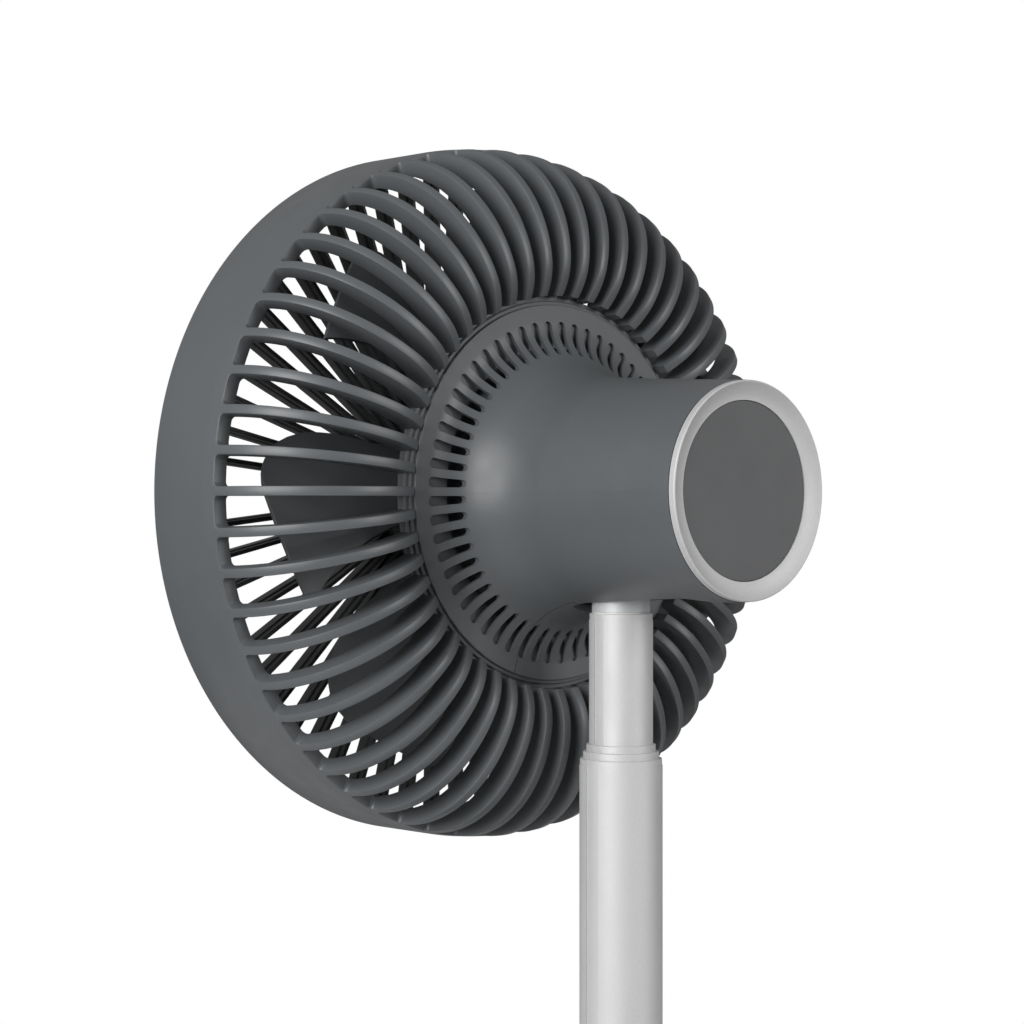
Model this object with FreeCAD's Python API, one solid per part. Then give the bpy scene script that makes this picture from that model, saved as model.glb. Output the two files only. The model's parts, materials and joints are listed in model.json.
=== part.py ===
import FreeCAD, Part
import math
import os

# Pedestal fan with a telescopic pole, in millimetres.
# The origin is on the floor under the pole.  +Z is up, the fan blows towards -Y.
# The head's pieces are turned about the fan axis, which runs along Y at AXIS_Z.

V = FreeCAD.Vector
UP = V(0, 0, 1)
REARWARD = V(0, 1, 0)
SIDEWAYS = V(1, 0, 0)

# ---------------------------------------------------------------- driving dimensions
AXIS_Z = 355.0                  # fan axis above the floor
CAGE_R = 127.05                 # outside of the round cage
FIN_COUNT = 57                  # fins of the rear grille, bars of the front one, vents of the housing
FIN_THICK = 3.3
FRONT_RIM_Y = -101.0
POLE_R = 14.56                  # outermost pole tube
POLE_STEP = 1.12                # each tube is this much smaller in radius than the last
RIM_DROPS = (93.0, 90.5, 88.0, 42.3)    # tube rims below the fan axis, outermost first
BASE_R = 102.0
BASE_TOP_Z = 34.0

PITCH_DEG = 360.0 / FIN_COUNT
FULL_TURN = 360.0

# ---------------------------------------------------------------- cage
BAND_WALL = 2.6                 # plain band between the front rim and the fins
CREASE_Y = -71.75               # where the band starts to lean in towards the dome
DOME_C = (84.6, -66.0)          # centre of the dome's round section: radius, y
DOME_R = 41.8
DOME_IN_C = (86.5, -69.4)       # centre of the fins' inner edge
DOME_IN_R = 35.0
CURL_R = 24.0                   # the fins curl down to the inner ring on this radius
SLOT_END_Y = -66.3              # the slots between the fins stop here
SLOT_CORNER_R = 1.6
RIB_FRONT_Y = -75.5             # thick ring behind the slots' ends
RING_OUT_R = 70.5
RING_LIP_R = 68.9
RING_IN_R = 52.0
RING_TOP_Y = -33.2
RING_LIP_DROP = 1.2
RING_FRONT_Y = -37.5
PAST = 20.0                     # how far a cutting tool runs past the solid
NEAR = 0.01                     # two heights closer than this are the same

# ---------------------------------------------------------------- front grille
BAR_THICK = 2.5
BAR_FRONT_Y = -101.2
BAR_REAR_Y = -93.6
RIM_GAP = 0.15                  # the front grille fits inside the rear one's band
FRONT_RIM_WALL = 4.4
HUB_RING_R = 30.0
HUB_RING_IN_R = 24.0
HUB_FLOOR = 2.4
CAP_R = 23.8
CAP_EDGE = 3.4                  # the cap's straight edge, before its dome

# ---------------------------------------------------------------- motor and its plate
PLATE_R = 66.0
PLATE_FRONT_Y = -40.1
PLATE_REAR_Y = -37.6
CAN_R = 27.0
CAN_WALL = 1.6
CAN_REAR_Y = -16.0
STATOR_R = 25.2
STATOR_IN_R = 15.0
STATOR_YS = (-33.0, -21.2)
ROTOR_R = 14.6
SHAFT_R = 3.0
SHAFT_HOLE_R = 4.0
SHAFT_END_GAP = 0.4
BEARING_R = 8.0
BEARING_LENGTH = 5.0
RACE_THICK = 1.2
SHIELD_INSET = 0.3
BOARD_THICK = 1.6

# ---------------------------------------------------------------- impeller
BLADE_COUNT = 7
TIP_R = 105.4
HUB_R = 36.0
HUB_WALL = 2.4
HUB_FRONT_Y = -88.0
HUB_REAR_Y = -46.0
BLADE_THICK = 2.0
BLADE_REAR_Y = -51.0
BLADE_FRONT_Y = -72.0
BLADE_CAMBER = 2.4
# radius, angle of the front edge, angle of the rear edge
BLADE_STATIONS = ((26.0, 22.0, -9.0), (70.0, 16.0, -12.5), (92.0, 11.0, -17.0), (115.0, -1.0, -22.0))
SHAFT_FRONT_Y = -84.0
BOSS_R = 7.0
HUB_NUT_R = 9.0
NUT_EDGE = 2.0
NUT_DOME = 1.6

# ---------------------------------------------------------------- motor housing
FLANGE_R = 67.5
FLANGE_Y = -31.9
FLANGE_THICK = 1.2
FLARE_C_R = 61.7                # the flare is a quarter ellipse centred on this radius at y = 0
NOSE_R = 40.1                   # radius where the flare meets the cone
HOUSING_WALL = 2.2
CONE_MID = (38.9, 19.0)
CONE_END = (37.1, 57.8)
FLANGE_ROUND = 0.4
VENT_IN_R = 50.6
VENT_OUT_R = 59.7
VENT_IN_HALF = 1.35             # the vents widen outwards
VENT_OUT_HALF = 1.8
NECK_SLOT_HALF = 11.7
NECK_SLOT_FRONT_Y = -14.2
NECK_SLOT_REAR_Y = 49.0
NECK_SLOT_END_R = 35.0
COVER_TOP_Z = -38.0             # the cover's outline, below the fan axis
COVER_TOP_HALF = 14.1
COVER_LOW_Z = -72.0
COVER_LOW_HALF = 23.7
COVER_REAR_Y = -9.0
COVER_GAP = 0.3
BOSS_RING_R = 45.0              # four screw bosses join the housing to the motor plate
HOUSING_BOSS_R = 3.4
SCREW_R = 1.5
SCREW_HEAD_R = 2.8
SCREW_HEAD_H = 1.8
HOUSING_SCREW_LENGTH = 12.0
GRILLE_SCREW_LENGTH = 5.5
RING_SCREW_RING_R = 62.0

# ---------------------------------------------------------------- rear trim
TRIM_R = 36.9
TRIM_DISC_GAP = 0.15
TRIM_FRONT_Y = 58.0
TRIM_REAR_Y = 60.4
TRIM_ROUND = 0.5
TRIM_COVE = 0.5                 # how far the ring's face sinks below the line from rim to disc
TRIM_LEDGE_R = 27.5
TRIM_LEDGE_Y = 56.4
TRIM_SPIGOT_R = 34.5
TRIM_SPIGOT_Y = 54.8
DISC_R = 30.15
DISC_REAR_Y = 57.8
DISC_ROUND = 0.3
DISC_SINK = 0.3                 # the disc lies this far below the ring's inner edge

# ---------------------------------------------------------------- neck and tilt joint
NECK_R = 10.2
NECK_SHOULDER = 41.9            # below the fan axis
EYE_R = 9.5
EYE_HALF = 8.4
NECK_CUT_TOP = 8.0              # the neck's round body ends this far below the fan axis
CHEEK_Z = AXIS_Z - 11.0         # above this the neck is as narrow as its eye
PIN_R = 3.0
RUNNING_GAP = 0.06
SPIGOT_R = 8.0
SPIGOT_END = 78.0
WIRE_BORE_R = 4.0
CLIP_GROOVE_R = 6.8
CLIP_R = 9.4
CLIP_DROP = 75.6
CLIP_THICK = 1.2
CLIP_MOUTH_HALF = 2.0
BUSH_TOP = 42.0
BUSH_END = 75.0
EAR_IN_X = 9.0
EAR_THICK = 2.2
EAR_R = 8.0
BRACKET_HALF = 15.0
BRACKET_THICK = 2.0
BRACKET_SCREW_X = 5.0
BRACKET_SCREW_Z = 11.5
BRACKET_SCREW_R = 1.25
WASHER_R = 7.6
WASHER_THICK = 0.5
PIN_HEAD_R = 5.0
PIN_HEAD_H = 2.6
NUT_FLATS = 9.0
NUT_H = 3.6

# ---------------------------------------------------------------- pole
TUBE_WALL = 0.9
TOP_TUBE_WALL = 1.2
GROOVE_DEG = 12.0               # half angle of the key groove along each tube
RIDGE_DEG = 10.5
GROOVE_DEPTH = 0.5
COLLAR_H = 2.45
COLLAR_INSET = 0.2
COLLAR_CHAMFER = 0.2
SLIDE_GAP = 0.08
TUBE_BOTTOMS = (12.0, 29.5, 35.0, 82.7)
GLIDE_H = 5.0
GLIDE_WALL = 2.6
RIVET_R = 2.45
RIVET_DROP = 103.1
RIVET_PROUD = 0.08

# ---------------------------------------------------------------- base
PAD_R = 96.0
PAD_H = 2.0
BOTTOM_R = 98.6
BOTTOM_H = 2.5
SHELL_BOTTOM_Z = 2.6
SHELL_WALL = 2.6
SHELL_ROUND = 9.0               # rounding of the top edge
WEIGHT_R = 90.0
WEIGHT_IN_R = 24.0
WEIGHT_H = 6.0
WEIGHT_Z0 = PAD_H + BOTTOM_H
WEIGHT_Z1 = WEIGHT_Z0 + WEIGHT_H
SOCKET_R = 19.0
SOCKET_FLANGE_R = 23.6
SOCKET_FLANGE_H = 3.0
SOCKET_TOP_Z = 45.0
SOCKET_CHAMFER = 1.2
SOCKET_BOLT_R = 3.0
SOCKET_BOLT_HEAD_R = 6.0
SOCKET_BOLT_HEAD_H = 1.6
SOCKET_BOLT_END_Z = 10.0
PANEL_Y = -66.0
PANEL_HALF_X = 46.0
PANEL_HALF_Y = 12.0
PANEL_TOP_Z = 34.4
PANEL_FLOOR_H = 0.8
PANEL_SKIRT_GAP = 0.15
PANEL_ROUND = 0.3
BUTTON_XS = (-33.0, -11.0, 11.0, 33.0)
BUTTON_NAMES = ("power_button", "faster_button", "slower_button", "timer_button")
BUTTON_R = 6.7
BUTTON_HOLE_R = 7.0
BUTTON_TOP_Z = 35.4
BUTTON_LOW_Z = 30.8
BUTTON_LIP_R = 8.0
BUTTON_WELL_R = 8.5
BUTTON_LIP_H = 1.2
BUTTON_DISH_R = 30.0
BUTTON_DISH_DEPTH = 0.5
BUTTON_ROUND = 0.6
SWITCH_HALF = 3.0
SWITCH_H = 3.4
SWITCH_STEM_R = 1.7
SWITCH_STEM_H = 1.6
PCB_Z = 23.0
PCB_HALF_X = 44.0
PCB_HALF_Y = 10.0
PCB_POST_R = 2.6
PCB_POST_X = 22.0
PCB_POST_Y = 6.0
POST_SINK = 1.0                 # how far posts run into the roof they hang from
CELL_R = 9.2
CELL_LENGTH = 65.0
CELL_NUB_R = 2.8
CELL_NUB_H = 0.8
CELL_ROWS = (34.0, 54.0)
CELL_GAP = 3.0
TRAY_FLOOR_H = 1.6
TRAY_WALL_H = 9.0
TRAY_MARGIN = 1.4
TRAY_CLEAR = 0.3
INLET_HALF_X = 4.5
INLET_HALF_Z = 1.65
INLET_DEPTH = 8.0
INLET_WALL = 0.4
INLET_FIT = 0.1
INLET_SHELL_H = 1.0              # back wall of the inlet's shell, and how far its tongue stops short
INLET_TONGUE_HALF_X = 3.3
INLET_TONGUE_HALF_Z = 0.35
INLET_FACE_Y = 101.2
INLET_Z = WEIGHT_Z1 + BOARD_THICK + INLET_HALF_Z + INLET_WALL
CHARGE_BOARD_HALF_X = 10.0
CHARGE_BOARD_YS = (72.0, 97.0)
BASE_BOSS_RING_R = 84.0
BASE_BOSS_R = 4.0
BASE_SCREW_BITE = 10.0           # how deep the screws reach into their posts
WEIGHT_HOLE_GAP = 0.4
BASE_BOSS_ANGLES = (15.0, 165.0, 215.0, 325.0)


# ================================================================ helpers
def line(a, b):
    return Part.LineSegment(a, b).toShape()


def arc(a, through, b):
    return Part.Arc(a, through, b).toShape()


def face_of(edges):
    return Part.Face(Part.Wire(Part.__sortEdges__(edges)))


def polygon(points):
    return Part.Face(Part.makePolygon(list(points) + [points[0]]))


def on_fan(radius, y):
    """A point of the head's half section: radius from the fan axis, and y."""
    return V(radius, y, AXIS_Z)


def lathe_fan(face):
    return face.revolve(V(0, 0, AXIS_Z), REARWARD, FULL_TURN)


def lathe_pole(face):
    return face.revolve(V(0, 0, 0), UP, FULL_TURN)


def fan_ring(outer, inner, y_front, y_rear):
    """A plain ring or disc about the fan axis."""
    origin = V(0, y_front, AXIS_Z)
    solid = Part.makeCylinder(outer, y_rear - y_front, origin, REARWARD)
    if inner > 0:
        solid = solid.cut(Part.makeCylinder(inner, y_rear - y_front, origin, REARWARD))
    return solid


def pole_ring(outer, inner, z_low, z_high):
    """A plain ring or disc about the pole's axis."""
    solid = Part.makeCylinder(outer, z_high - z_low, V(0, 0, z_low))
    if inner > 0:
        solid = solid.cut(Part.makeCylinder(inner, z_high - z_low, V(0, 0, z_low)))
    return solid


def box(x0, x1, y0, y1, z0, z1):
    return Part.makeBox(x1 - x0, y1 - y0, z1 - z0, V(x0, y0, z0))


def arc_point(centre, radius, degrees):
    """A point on a round stretch of the head's half section."""
    turn = math.radians(degrees)
    return on_fan(centre[0] + radius * math.cos(turn), centre[1] + radius * math.sin(turn))


def around_fan(shape, degrees):
    """A copy turned about the fan axis; a positive angle goes from +X up to +Z."""
    copy = shape.copy()
    copy.rotate(V(0, 0, AXIS_Z), REARWARD, -degrees)
    return copy


def fan_pattern(shape, count, first=0.0):
    return [around_fan(shape, first + FULL_TURN * k / count) for k in range(count)]


def ring_points(radius, angles):
    return [(radius * math.cos(math.radians(a)), radius * math.sin(math.radians(a))) for a in angles]


def edges_at_height(shape, z):
    """The edges that lie flat at this height."""
    found = []
    for edge in shape.Edges:
        bounds = edge.BoundBox
        if abs(bounds.ZMin - z) < NEAR and abs(bounds.ZMax - z) < NEAR:
            found.append(edge)
    return found


def joined(shapes):
    result = shapes[0].multiFuse(shapes[1:])
    return result.removeSplitter()


def save(name, shape):
    shape.exportStep("parts/" + name + ".step")


# ================================================================ cage
def dome_start_deg():
    """Angle on the dome where a line from the crease touches it."""
    dr = CAGE_R - DOME_C[0]
    dy = CREASE_Y - DOME_C[1]
    reach = math.hypot(dr, dy)
    return math.degrees(math.atan2(dy, dr) + math.acos(DOME_R / reach))


def cage_section():
    """Half section of the bowl before its slots are cut."""
    start = dome_start_deg()
    crown = arc_point(DOME_C, DOME_R, 90.0)
    curl_c = (DOME_C[0], DOME_C[1] + DOME_R - CURL_R)
    curl_deg = math.degrees(math.acos((RING_OUT_R - DOME_C[0]) / CURL_R))
    curl_end = arc_point(curl_c, CURL_R, curl_deg)
    rib_r = DOME_IN_C[0] + DOME_IN_R
    inner_crown = arc_point(DOME_IN_C, DOME_IN_R, 90.0)
    lip_y = RING_TOP_Y - RING_LIP_DROP
    band_in = CAGE_R - BAND_WALL
    edges = [
        line(on_fan(CAGE_R, FRONT_RIM_Y), on_fan(CAGE_R, CREASE_Y)),
        line(on_fan(CAGE_R, CREASE_Y), arc_point(DOME_C, DOME_R, start)),
        arc(arc_point(DOME_C, DOME_R, start), arc_point(DOME_C, DOME_R, 50.0), crown),
        arc(crown, arc_point(curl_c, CURL_R, (90.0 + curl_deg) / 2), curl_end),
        line(curl_end, on_fan(RING_OUT_R, lip_y)),
        line(on_fan(RING_OUT_R, lip_y), on_fan(RING_LIP_R, lip_y)),
        line(on_fan(RING_LIP_R, lip_y), on_fan(RING_LIP_R, RING_TOP_Y)),
        line(on_fan(RING_LIP_R, RING_TOP_Y), on_fan(RING_IN_R, RING_TOP_Y)),
        line(on_fan(RING_IN_R, RING_TOP_Y), on_fan(RING_IN_R, RING_FRONT_Y)),
        line(on_fan(RING_IN_R, RING_FRONT_Y), on_fan(RING_OUT_R, RING_FRONT_Y)),
        line(on_fan(RING_OUT_R, RING_FRONT_Y), inner_crown),
        arc(inner_crown, arc_point(DOME_IN_C, DOME_IN_R, 45.0), arc_point(DOME_IN_C, DOME_IN_R, 0.0)),
        line(on_fan(rib_r, DOME_IN_C[1]), on_fan(rib_r, RIB_FRONT_Y)),
        line(on_fan(rib_r, RIB_FRONT_Y), on_fan(band_in, RIB_FRONT_Y)),
        line(on_fan(band_in, RIB_FRONT_Y), on_fan(band_in, FRONT_RIM_Y)),
        line(on_fan(band_in, FRONT_RIM_Y), on_fan(CAGE_R, FRONT_RIM_Y)),
    ]
    return face_of(edges)


def side_point(radius, side):
    """Where a fin's flank stands at this radius, in a slot centred on +X."""
    lean = PITCH_DEG / 2 - math.degrees(math.asin(FIN_THICK / 2 / radius))
    turn = math.radians(side * lean)
    return V(radius * math.cos(turn), SLOT_END_Y, AXIS_Z + radius * math.sin(turn))


def slot_cutter():
    outer = CAGE_R + PAST
    places = ((RING_OUT_R, -1), (outer, -1), (outer, 1), (RING_OUT_R, 1))
    corners = [side_point(radius, side) for radius, side in places]
    solid = polygon(corners).extrude(V(0, DOME_R + PAST, 0))
    long_edges = []
    for edge in solid.Edges:
        at_end_wall = all(abs(vertex.Y - SLOT_END_Y) < NEAR for vertex in edge.Vertexes)
        if at_end_wall and edge.Length > RING_OUT_R / 2:
            long_edges.append(edge)
    return solid.makeFillet(SLOT_CORNER_R, long_edges)


def rear_grille():
    bowl = lathe_fan(cage_section())
    cutters = Part.Compound(fan_pattern(slot_cutter(), FIN_COUNT, PITCH_DEG / 2))
    screw_holes = [fan_screw_hole(a) for a in ring_screw_angles()]
    return bowl.cut(cutters).cut(Part.Compound(screw_holes))


def ring_screw_angles():
    return (0.0, 90.0, 180.0, 270.0)


def fan_screw_hole(angle):
    hole = Part.makeCylinder(SCREW_R, PAST, V(RING_SCREW_RING_R, PLATE_FRONT_Y, AXIS_Z), REARWARD)
    return around_fan(hole, angle)


def front_grille():
    rim_r = CAGE_R - BAND_WALL - RIM_GAP
    rim_in = rim_r - FRONT_RIM_WALL
    rim = fan_ring(rim_r, rim_in, BAR_FRONT_Y, BAR_REAR_Y)
    hub = fan_ring(HUB_RING_R, HUB_RING_IN_R, BAR_FRONT_Y, BAR_REAR_Y)
    floor = fan_ring(HUB_RING_R, 0, BAR_REAR_Y - HUB_FLOOR, BAR_REAR_Y)
    half = BAR_THICK / 2
    bar = box(HUB_RING_R - half, rim_in + half, BAR_FRONT_Y, BAR_REAR_Y, AXIS_Z - half, AXIS_Z + half)
    return joined([rim, hub, floor] + fan_pattern(bar, FIN_COUNT))


def domed_disc(radius, y_rear, y_edge, y_apex):
    """A disc about the fan axis with a gently domed front."""
    rise = y_edge - y_apex
    ball_r = (radius ** 2 + rise ** 2) / (2 * rise)
    half_r = radius / 2
    half_y = y_apex + ball_r - math.sqrt(ball_r ** 2 - half_r ** 2)
    edges = [
        arc(on_fan(radius, y_edge), on_fan(half_r, half_y), on_fan(0, y_apex)),
        line(on_fan(0, y_apex), on_fan(0, y_rear)),
        line(on_fan(0, y_rear), on_fan(radius, y_rear)),
        line(on_fan(radius, y_rear), on_fan(radius, y_edge)),
    ]
    return lathe_fan(face_of(edges))


def front_cap():
    cap_rear = BAR_REAR_Y - HUB_FLOOR
    return domed_disc(CAP_R, cap_rear, cap_rear - CAP_EDGE, BAR_FRONT_Y)


# ================================================================ motor
def motor_plate():
    plate = fan_ring(PLATE_R, 0, PLATE_FRONT_Y, PLATE_REAR_Y)
    seat = fan_ring(BEARING_R + CAN_WALL, 0, PLATE_FRONT_Y, PLATE_REAR_Y + BEARING_LENGTH)
    plate = plate.fuse(seat)
    plate = plate.cut(fan_ring(BEARING_R, 0, PLATE_FRONT_Y + CAN_WALL, PLATE_REAR_Y + PAST))
    plate = plate.cut(fan_ring(SHAFT_HOLE_R, 0, PLATE_FRONT_Y, PLATE_REAR_Y))
    holes = [fan_screw_hole(a) for a in ring_screw_angles()]
    for x, z in boss_places():
        holes.append(Part.makeCylinder(SCREW_R, PAST, V(x, PLATE_FRONT_Y, AXIS_Z + z), REARWARD))
    return plate.cut(Part.Compound(holes))


def motor_can():
    inside_rear = CAN_REAR_Y - CAN_WALL
    can = fan_ring(CAN_R, CAN_R - CAN_WALL, PLATE_REAR_Y, CAN_REAR_Y)
    rear = fan_ring(CAN_R, 0, inside_rear, CAN_REAR_Y)
    seat = fan_ring(BEARING_R + CAN_WALL, BEARING_R, inside_rear - BEARING_LENGTH, inside_rear)
    can = joined([can, rear, seat])
    return can.cut(Part.Compound([bracket_screw_hole(x, z) for x, z in bracket_screw_places()]))


def stator():
    y_front, y_rear = STATOR_YS
    return fan_ring(STATOR_R, STATOR_IN_R, y_front, y_rear)


def rotor():
    inset = BEARING_LENGTH + CAN_WALL
    return fan_ring(ROTOR_R, SHAFT_R, PLATE_REAR_Y + inset, CAN_REAR_Y - CAN_WALL - inset)


def bearing(y_front):
    """Ball bearing: two races with the balls' ring between them."""
    y_rear = y_front + BEARING_LENGTH
    outer_track = BEARING_R - RACE_THICK
    inner_track = SHAFT_R + RACE_THICK
    outer = fan_ring(BEARING_R, outer_track, y_front, y_rear)
    inner = fan_ring(inner_track, SHAFT_R + RUNNING_GAP, y_front, y_rear)
    balls = fan_ring(outer_track, inner_track, y_front + SHIELD_INSET, y_rear - SHIELD_INSET)
    return joined([outer, inner, balls])


def motor_shaft():
    return fan_ring(SHAFT_R, 0, SHAFT_FRONT_Y, CAN_REAR_Y - CAN_WALL - SHAFT_END_GAP)


# ================================================================ impeller
def blade_section(station):
    """Curved plate section across the blade, on a plane square to +X."""
    radius, front_deg, rear_deg = station
    front_z = AXIS_Z + radius * math.tan(math.radians(front_deg))
    rear_z = AXIS_Z + radius * math.tan(math.radians(rear_deg))
    along = V(0, BLADE_REAR_Y - BLADE_FRONT_Y, rear_z - front_z)
    across = V(0, along.z, -along.y).normalize()
    front = V(radius, BLADE_FRONT_Y, front_z)
    rear = front + along
    middle = front + along * 0.5 + across * BLADE_CAMBER
    half = across * (BLADE_THICK / 2)
    edges = [
        arc(front + half, middle + half, rear + half),
        line(rear + half, rear - half),
        arc(rear - half, middle - half, front - half),
        line(front - half, front + half),
    ]
    return Part.Wire(edges)


def impeller():
    blade = Part.makeLoft([blade_section(s) for s in BLADE_STATIONS], True, False)
    blade = blade.common(fan_ring(TIP_R, HUB_R - HUB_WALL / 2, BLADE_FRONT_Y - PAST, BLADE_REAR_Y + PAST))
    wall = fan_ring(HUB_R, HUB_R - HUB_WALL, HUB_FRONT_Y, HUB_REAR_Y)
    nose = fan_ring(HUB_R, SHAFT_R, HUB_FRONT_Y, HUB_FRONT_Y + HUB_WALL)
    boss = fan_ring(BOSS_R, SHAFT_R, HUB_FRONT_Y, HUB_REAR_Y)
    return joined([wall, nose, boss] + fan_pattern(blade, BLADE_COUNT))


def hub_nut():
    edge_y = HUB_FRONT_Y - NUT_EDGE
    return domed_disc(HUB_NUT_R, HUB_FRONT_Y, edge_y, edge_y - NUT_DOME)


# ================================================================ motor housing
def flare_edge(radial, axial):
    """Quarter ellipse from the nose radius out to the flange."""
    centre = on_fan(FLARE_C_R, 0)
    major = centre + V(0, -axial, 0)
    minor = centre + V(-radial, 0, 0)
    return Part.ArcOfEllipse(Part.Ellipse(major, minor, centre), 0, math.pi / 2).toShape()


def housing_shell():
    """The whole trumpet, before its vents, neck slot and cover are cut."""
    radial = FLARE_C_R - NOSE_R
    axial = -FLANGE_Y
    wall = HOUSING_WALL
    front_y = FLANGE_Y - FLANGE_THICK
    inner_mid = on_fan(CONE_MID[0] - wall, CONE_MID[1])
    inner_end = on_fan(CONE_END[0] - wall, CONE_END[1])
    soft = FLANGE_ROUND
    back_off = soft * (1 - math.sqrt(0.5))
    corner = on_fan(FLANGE_R - back_off, FLANGE_Y - back_off)
    edges = [
        line(on_fan(FLANGE_R, front_y), on_fan(FLANGE_R, FLANGE_Y - soft)),
        arc(on_fan(FLANGE_R, FLANGE_Y - soft), corner, on_fan(FLANGE_R - soft, FLANGE_Y)),
        line(on_fan(FLANGE_R - soft, FLANGE_Y), on_fan(FLARE_C_R, FLANGE_Y)),
        flare_edge(radial, axial),
        arc(on_fan(NOSE_R, 0), on_fan(*CONE_MID), on_fan(*CONE_END)),
        line(on_fan(*CONE_END), inner_end),
        arc(inner_end, inner_mid, on_fan(NOSE_R - wall, 0)),
        flare_edge(radial + wall, axial + FLANGE_THICK),
        line(on_fan(FLARE_C_R, front_y), on_fan(FLANGE_R, front_y)),
    ]
    return lathe_fan(face_of(edges))


def vent_cutter():
    """Long rounded slot, cut along the fan axis."""
    y = FLANGE_Y - PAST
    low = V(VENT_IN_R, y, AXIS_Z - VENT_IN_HALF)
    high = V(VENT_IN_R, y, AXIS_Z + VENT_IN_HALF)
    far_low = V(VENT_OUT_R, y, AXIS_Z - VENT_OUT_HALF)
    far_high = V(VENT_OUT_R, y, AXIS_Z + VENT_OUT_HALF)
    face = face_of([
        line(low, far_low),
        arc(far_low, V(VENT_OUT_R + VENT_OUT_HALF, y, AXIS_Z), far_high),
        line(far_high, high),
        arc(high, V(VENT_IN_R - VENT_IN_HALF, y, AXIS_Z), low),
    ])
    return face.extrude(V(0, 2 * PAST, 0))


def neck_slot_cutter():
    """Opening under the housing where the neck swings, seen from below."""
    z = AXIS_Z - FLANGE_R - PAST
    half = NECK_SLOT_HALF
    front_side_y = NECK_SLOT_FRONT_Y + NECK_SLOT_END_R - math.sqrt(NECK_SLOT_END_R ** 2 - half ** 2)
    rear_side_y = NECK_SLOT_REAR_Y - half
    face = face_of([
        arc(V(-half, front_side_y, z), V(0, NECK_SLOT_FRONT_Y, z), V(half, front_side_y, z)),
        line(V(half, front_side_y, z), V(half, rear_side_y, z)),
        arc(V(half, rear_side_y, z), V(0, NECK_SLOT_REAR_Y, z), V(-half, rear_side_y, z)),
        line(V(-half, rear_side_y, z), V(-half, front_side_y, z)),
    ])
    return face.extrude(V(0, 0, FLANGE_R + PAST - NOSE_R / 2))


def cover_region(shrink):
    """The cover's outline, looking along the fan axis."""
    y = FLANGE_Y - PAST
    top = AXIS_Z + COVER_TOP_Z
    low = AXIS_Z + COVER_LOW_Z
    slope = (COVER_LOW_HALF - COVER_TOP_HALF) / (COVER_TOP_Z - COVER_LOW_Z)
    roof = AXIS_Z - NOSE_R / 2
    roof_half = COVER_TOP_HALF - slope * (roof - top)
    face = polygon([
        V(-COVER_LOW_HALF + shrink, y, low),
        V(COVER_LOW_HALF - shrink, y, low),
        V(roof_half - shrink, y, roof),
        V(-roof_half + shrink, y, roof),
    ])
    return face.extrude(V(0, COVER_REAR_Y - shrink - y, 0))


def boss_places():
    return ring_points(BOSS_RING_R, (45.0, 135.0, 225.0, 315.0))


def vented_shell():
    """The trumpet with its vents and the neck's slot."""
    vents = Part.Compound(fan_pattern(vent_cutter(), FIN_COUNT, PITCH_DEG / 2))
    return housing_shell().cut(vents).cut(neck_slot_cutter())


def motor_housing(shell):
    shell = shell.cut(cover_region(0))
    envelope = fan_ring(FLANGE_R, 0, PLATE_REAR_Y, 0)
    hollow = lathe_fan(flare_hollow())
    bosses = []
    for x, z in boss_places():
        post = Part.makeCylinder(HOUSING_BOSS_R, -PLATE_REAR_Y, V(x, PLATE_REAR_Y, AXIS_Z + z), REARWARD)
        hole = Part.makeCylinder(SCREW_R, HOUSING_SCREW_LENGTH, V(x, PLATE_REAR_Y, AXIS_Z + z), REARWARD)
        bosses.append(post.common(envelope).common(hollow).cut(hole))
    return joined([shell] + bosses)


def flare_hollow():
    """Half section of the space inside the flare, down to the motor plate."""
    radial = FLARE_C_R - NOSE_R + HOUSING_WALL / 2
    axial = -FLANGE_Y + FLANGE_THICK / 2
    edge_r = FLARE_C_R
    front_y = -axial
    edges = [
        flare_edge(radial, axial),
        line(on_fan(edge_r, front_y), on_fan(edge_r, PLATE_REAR_Y)),
        line(on_fan(edge_r, PLATE_REAR_Y), on_fan(0, PLATE_REAR_Y)),
        line(on_fan(0, PLATE_REAR_Y), on_fan(0, 0)),
        line(on_fan(0, 0), on_fan(FLARE_C_R - radial, 0)),
    ]
    return face_of(edges)


def bottom_cover(shell):
    return shell.common(cover_region(COVER_GAP))


def fan_screw(x, z, length):
    """Pan-head screw driven rearward through the motor plate."""
    place = V(x, PLATE_FRONT_Y, AXIS_Z + z)
    shank = Part.makeCylinder(SCREW_R, length, place, REARWARD)
    head = Part.makeCylinder(SCREW_HEAD_R, SCREW_HEAD_H, place - REARWARD * SCREW_HEAD_H, REARWARD)
    return shank.fuse(head).removeSplitter()


def housing_screws():
    return Part.Compound([fan_screw(x, z, HOUSING_SCREW_LENGTH) for x, z in boss_places()])


def grille_screws():
    places = ring_points(RING_SCREW_RING_R, ring_screw_angles())
    return Part.Compound([fan_screw(x, z, GRILLE_SCREW_LENGTH) for x, z in places])


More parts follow.
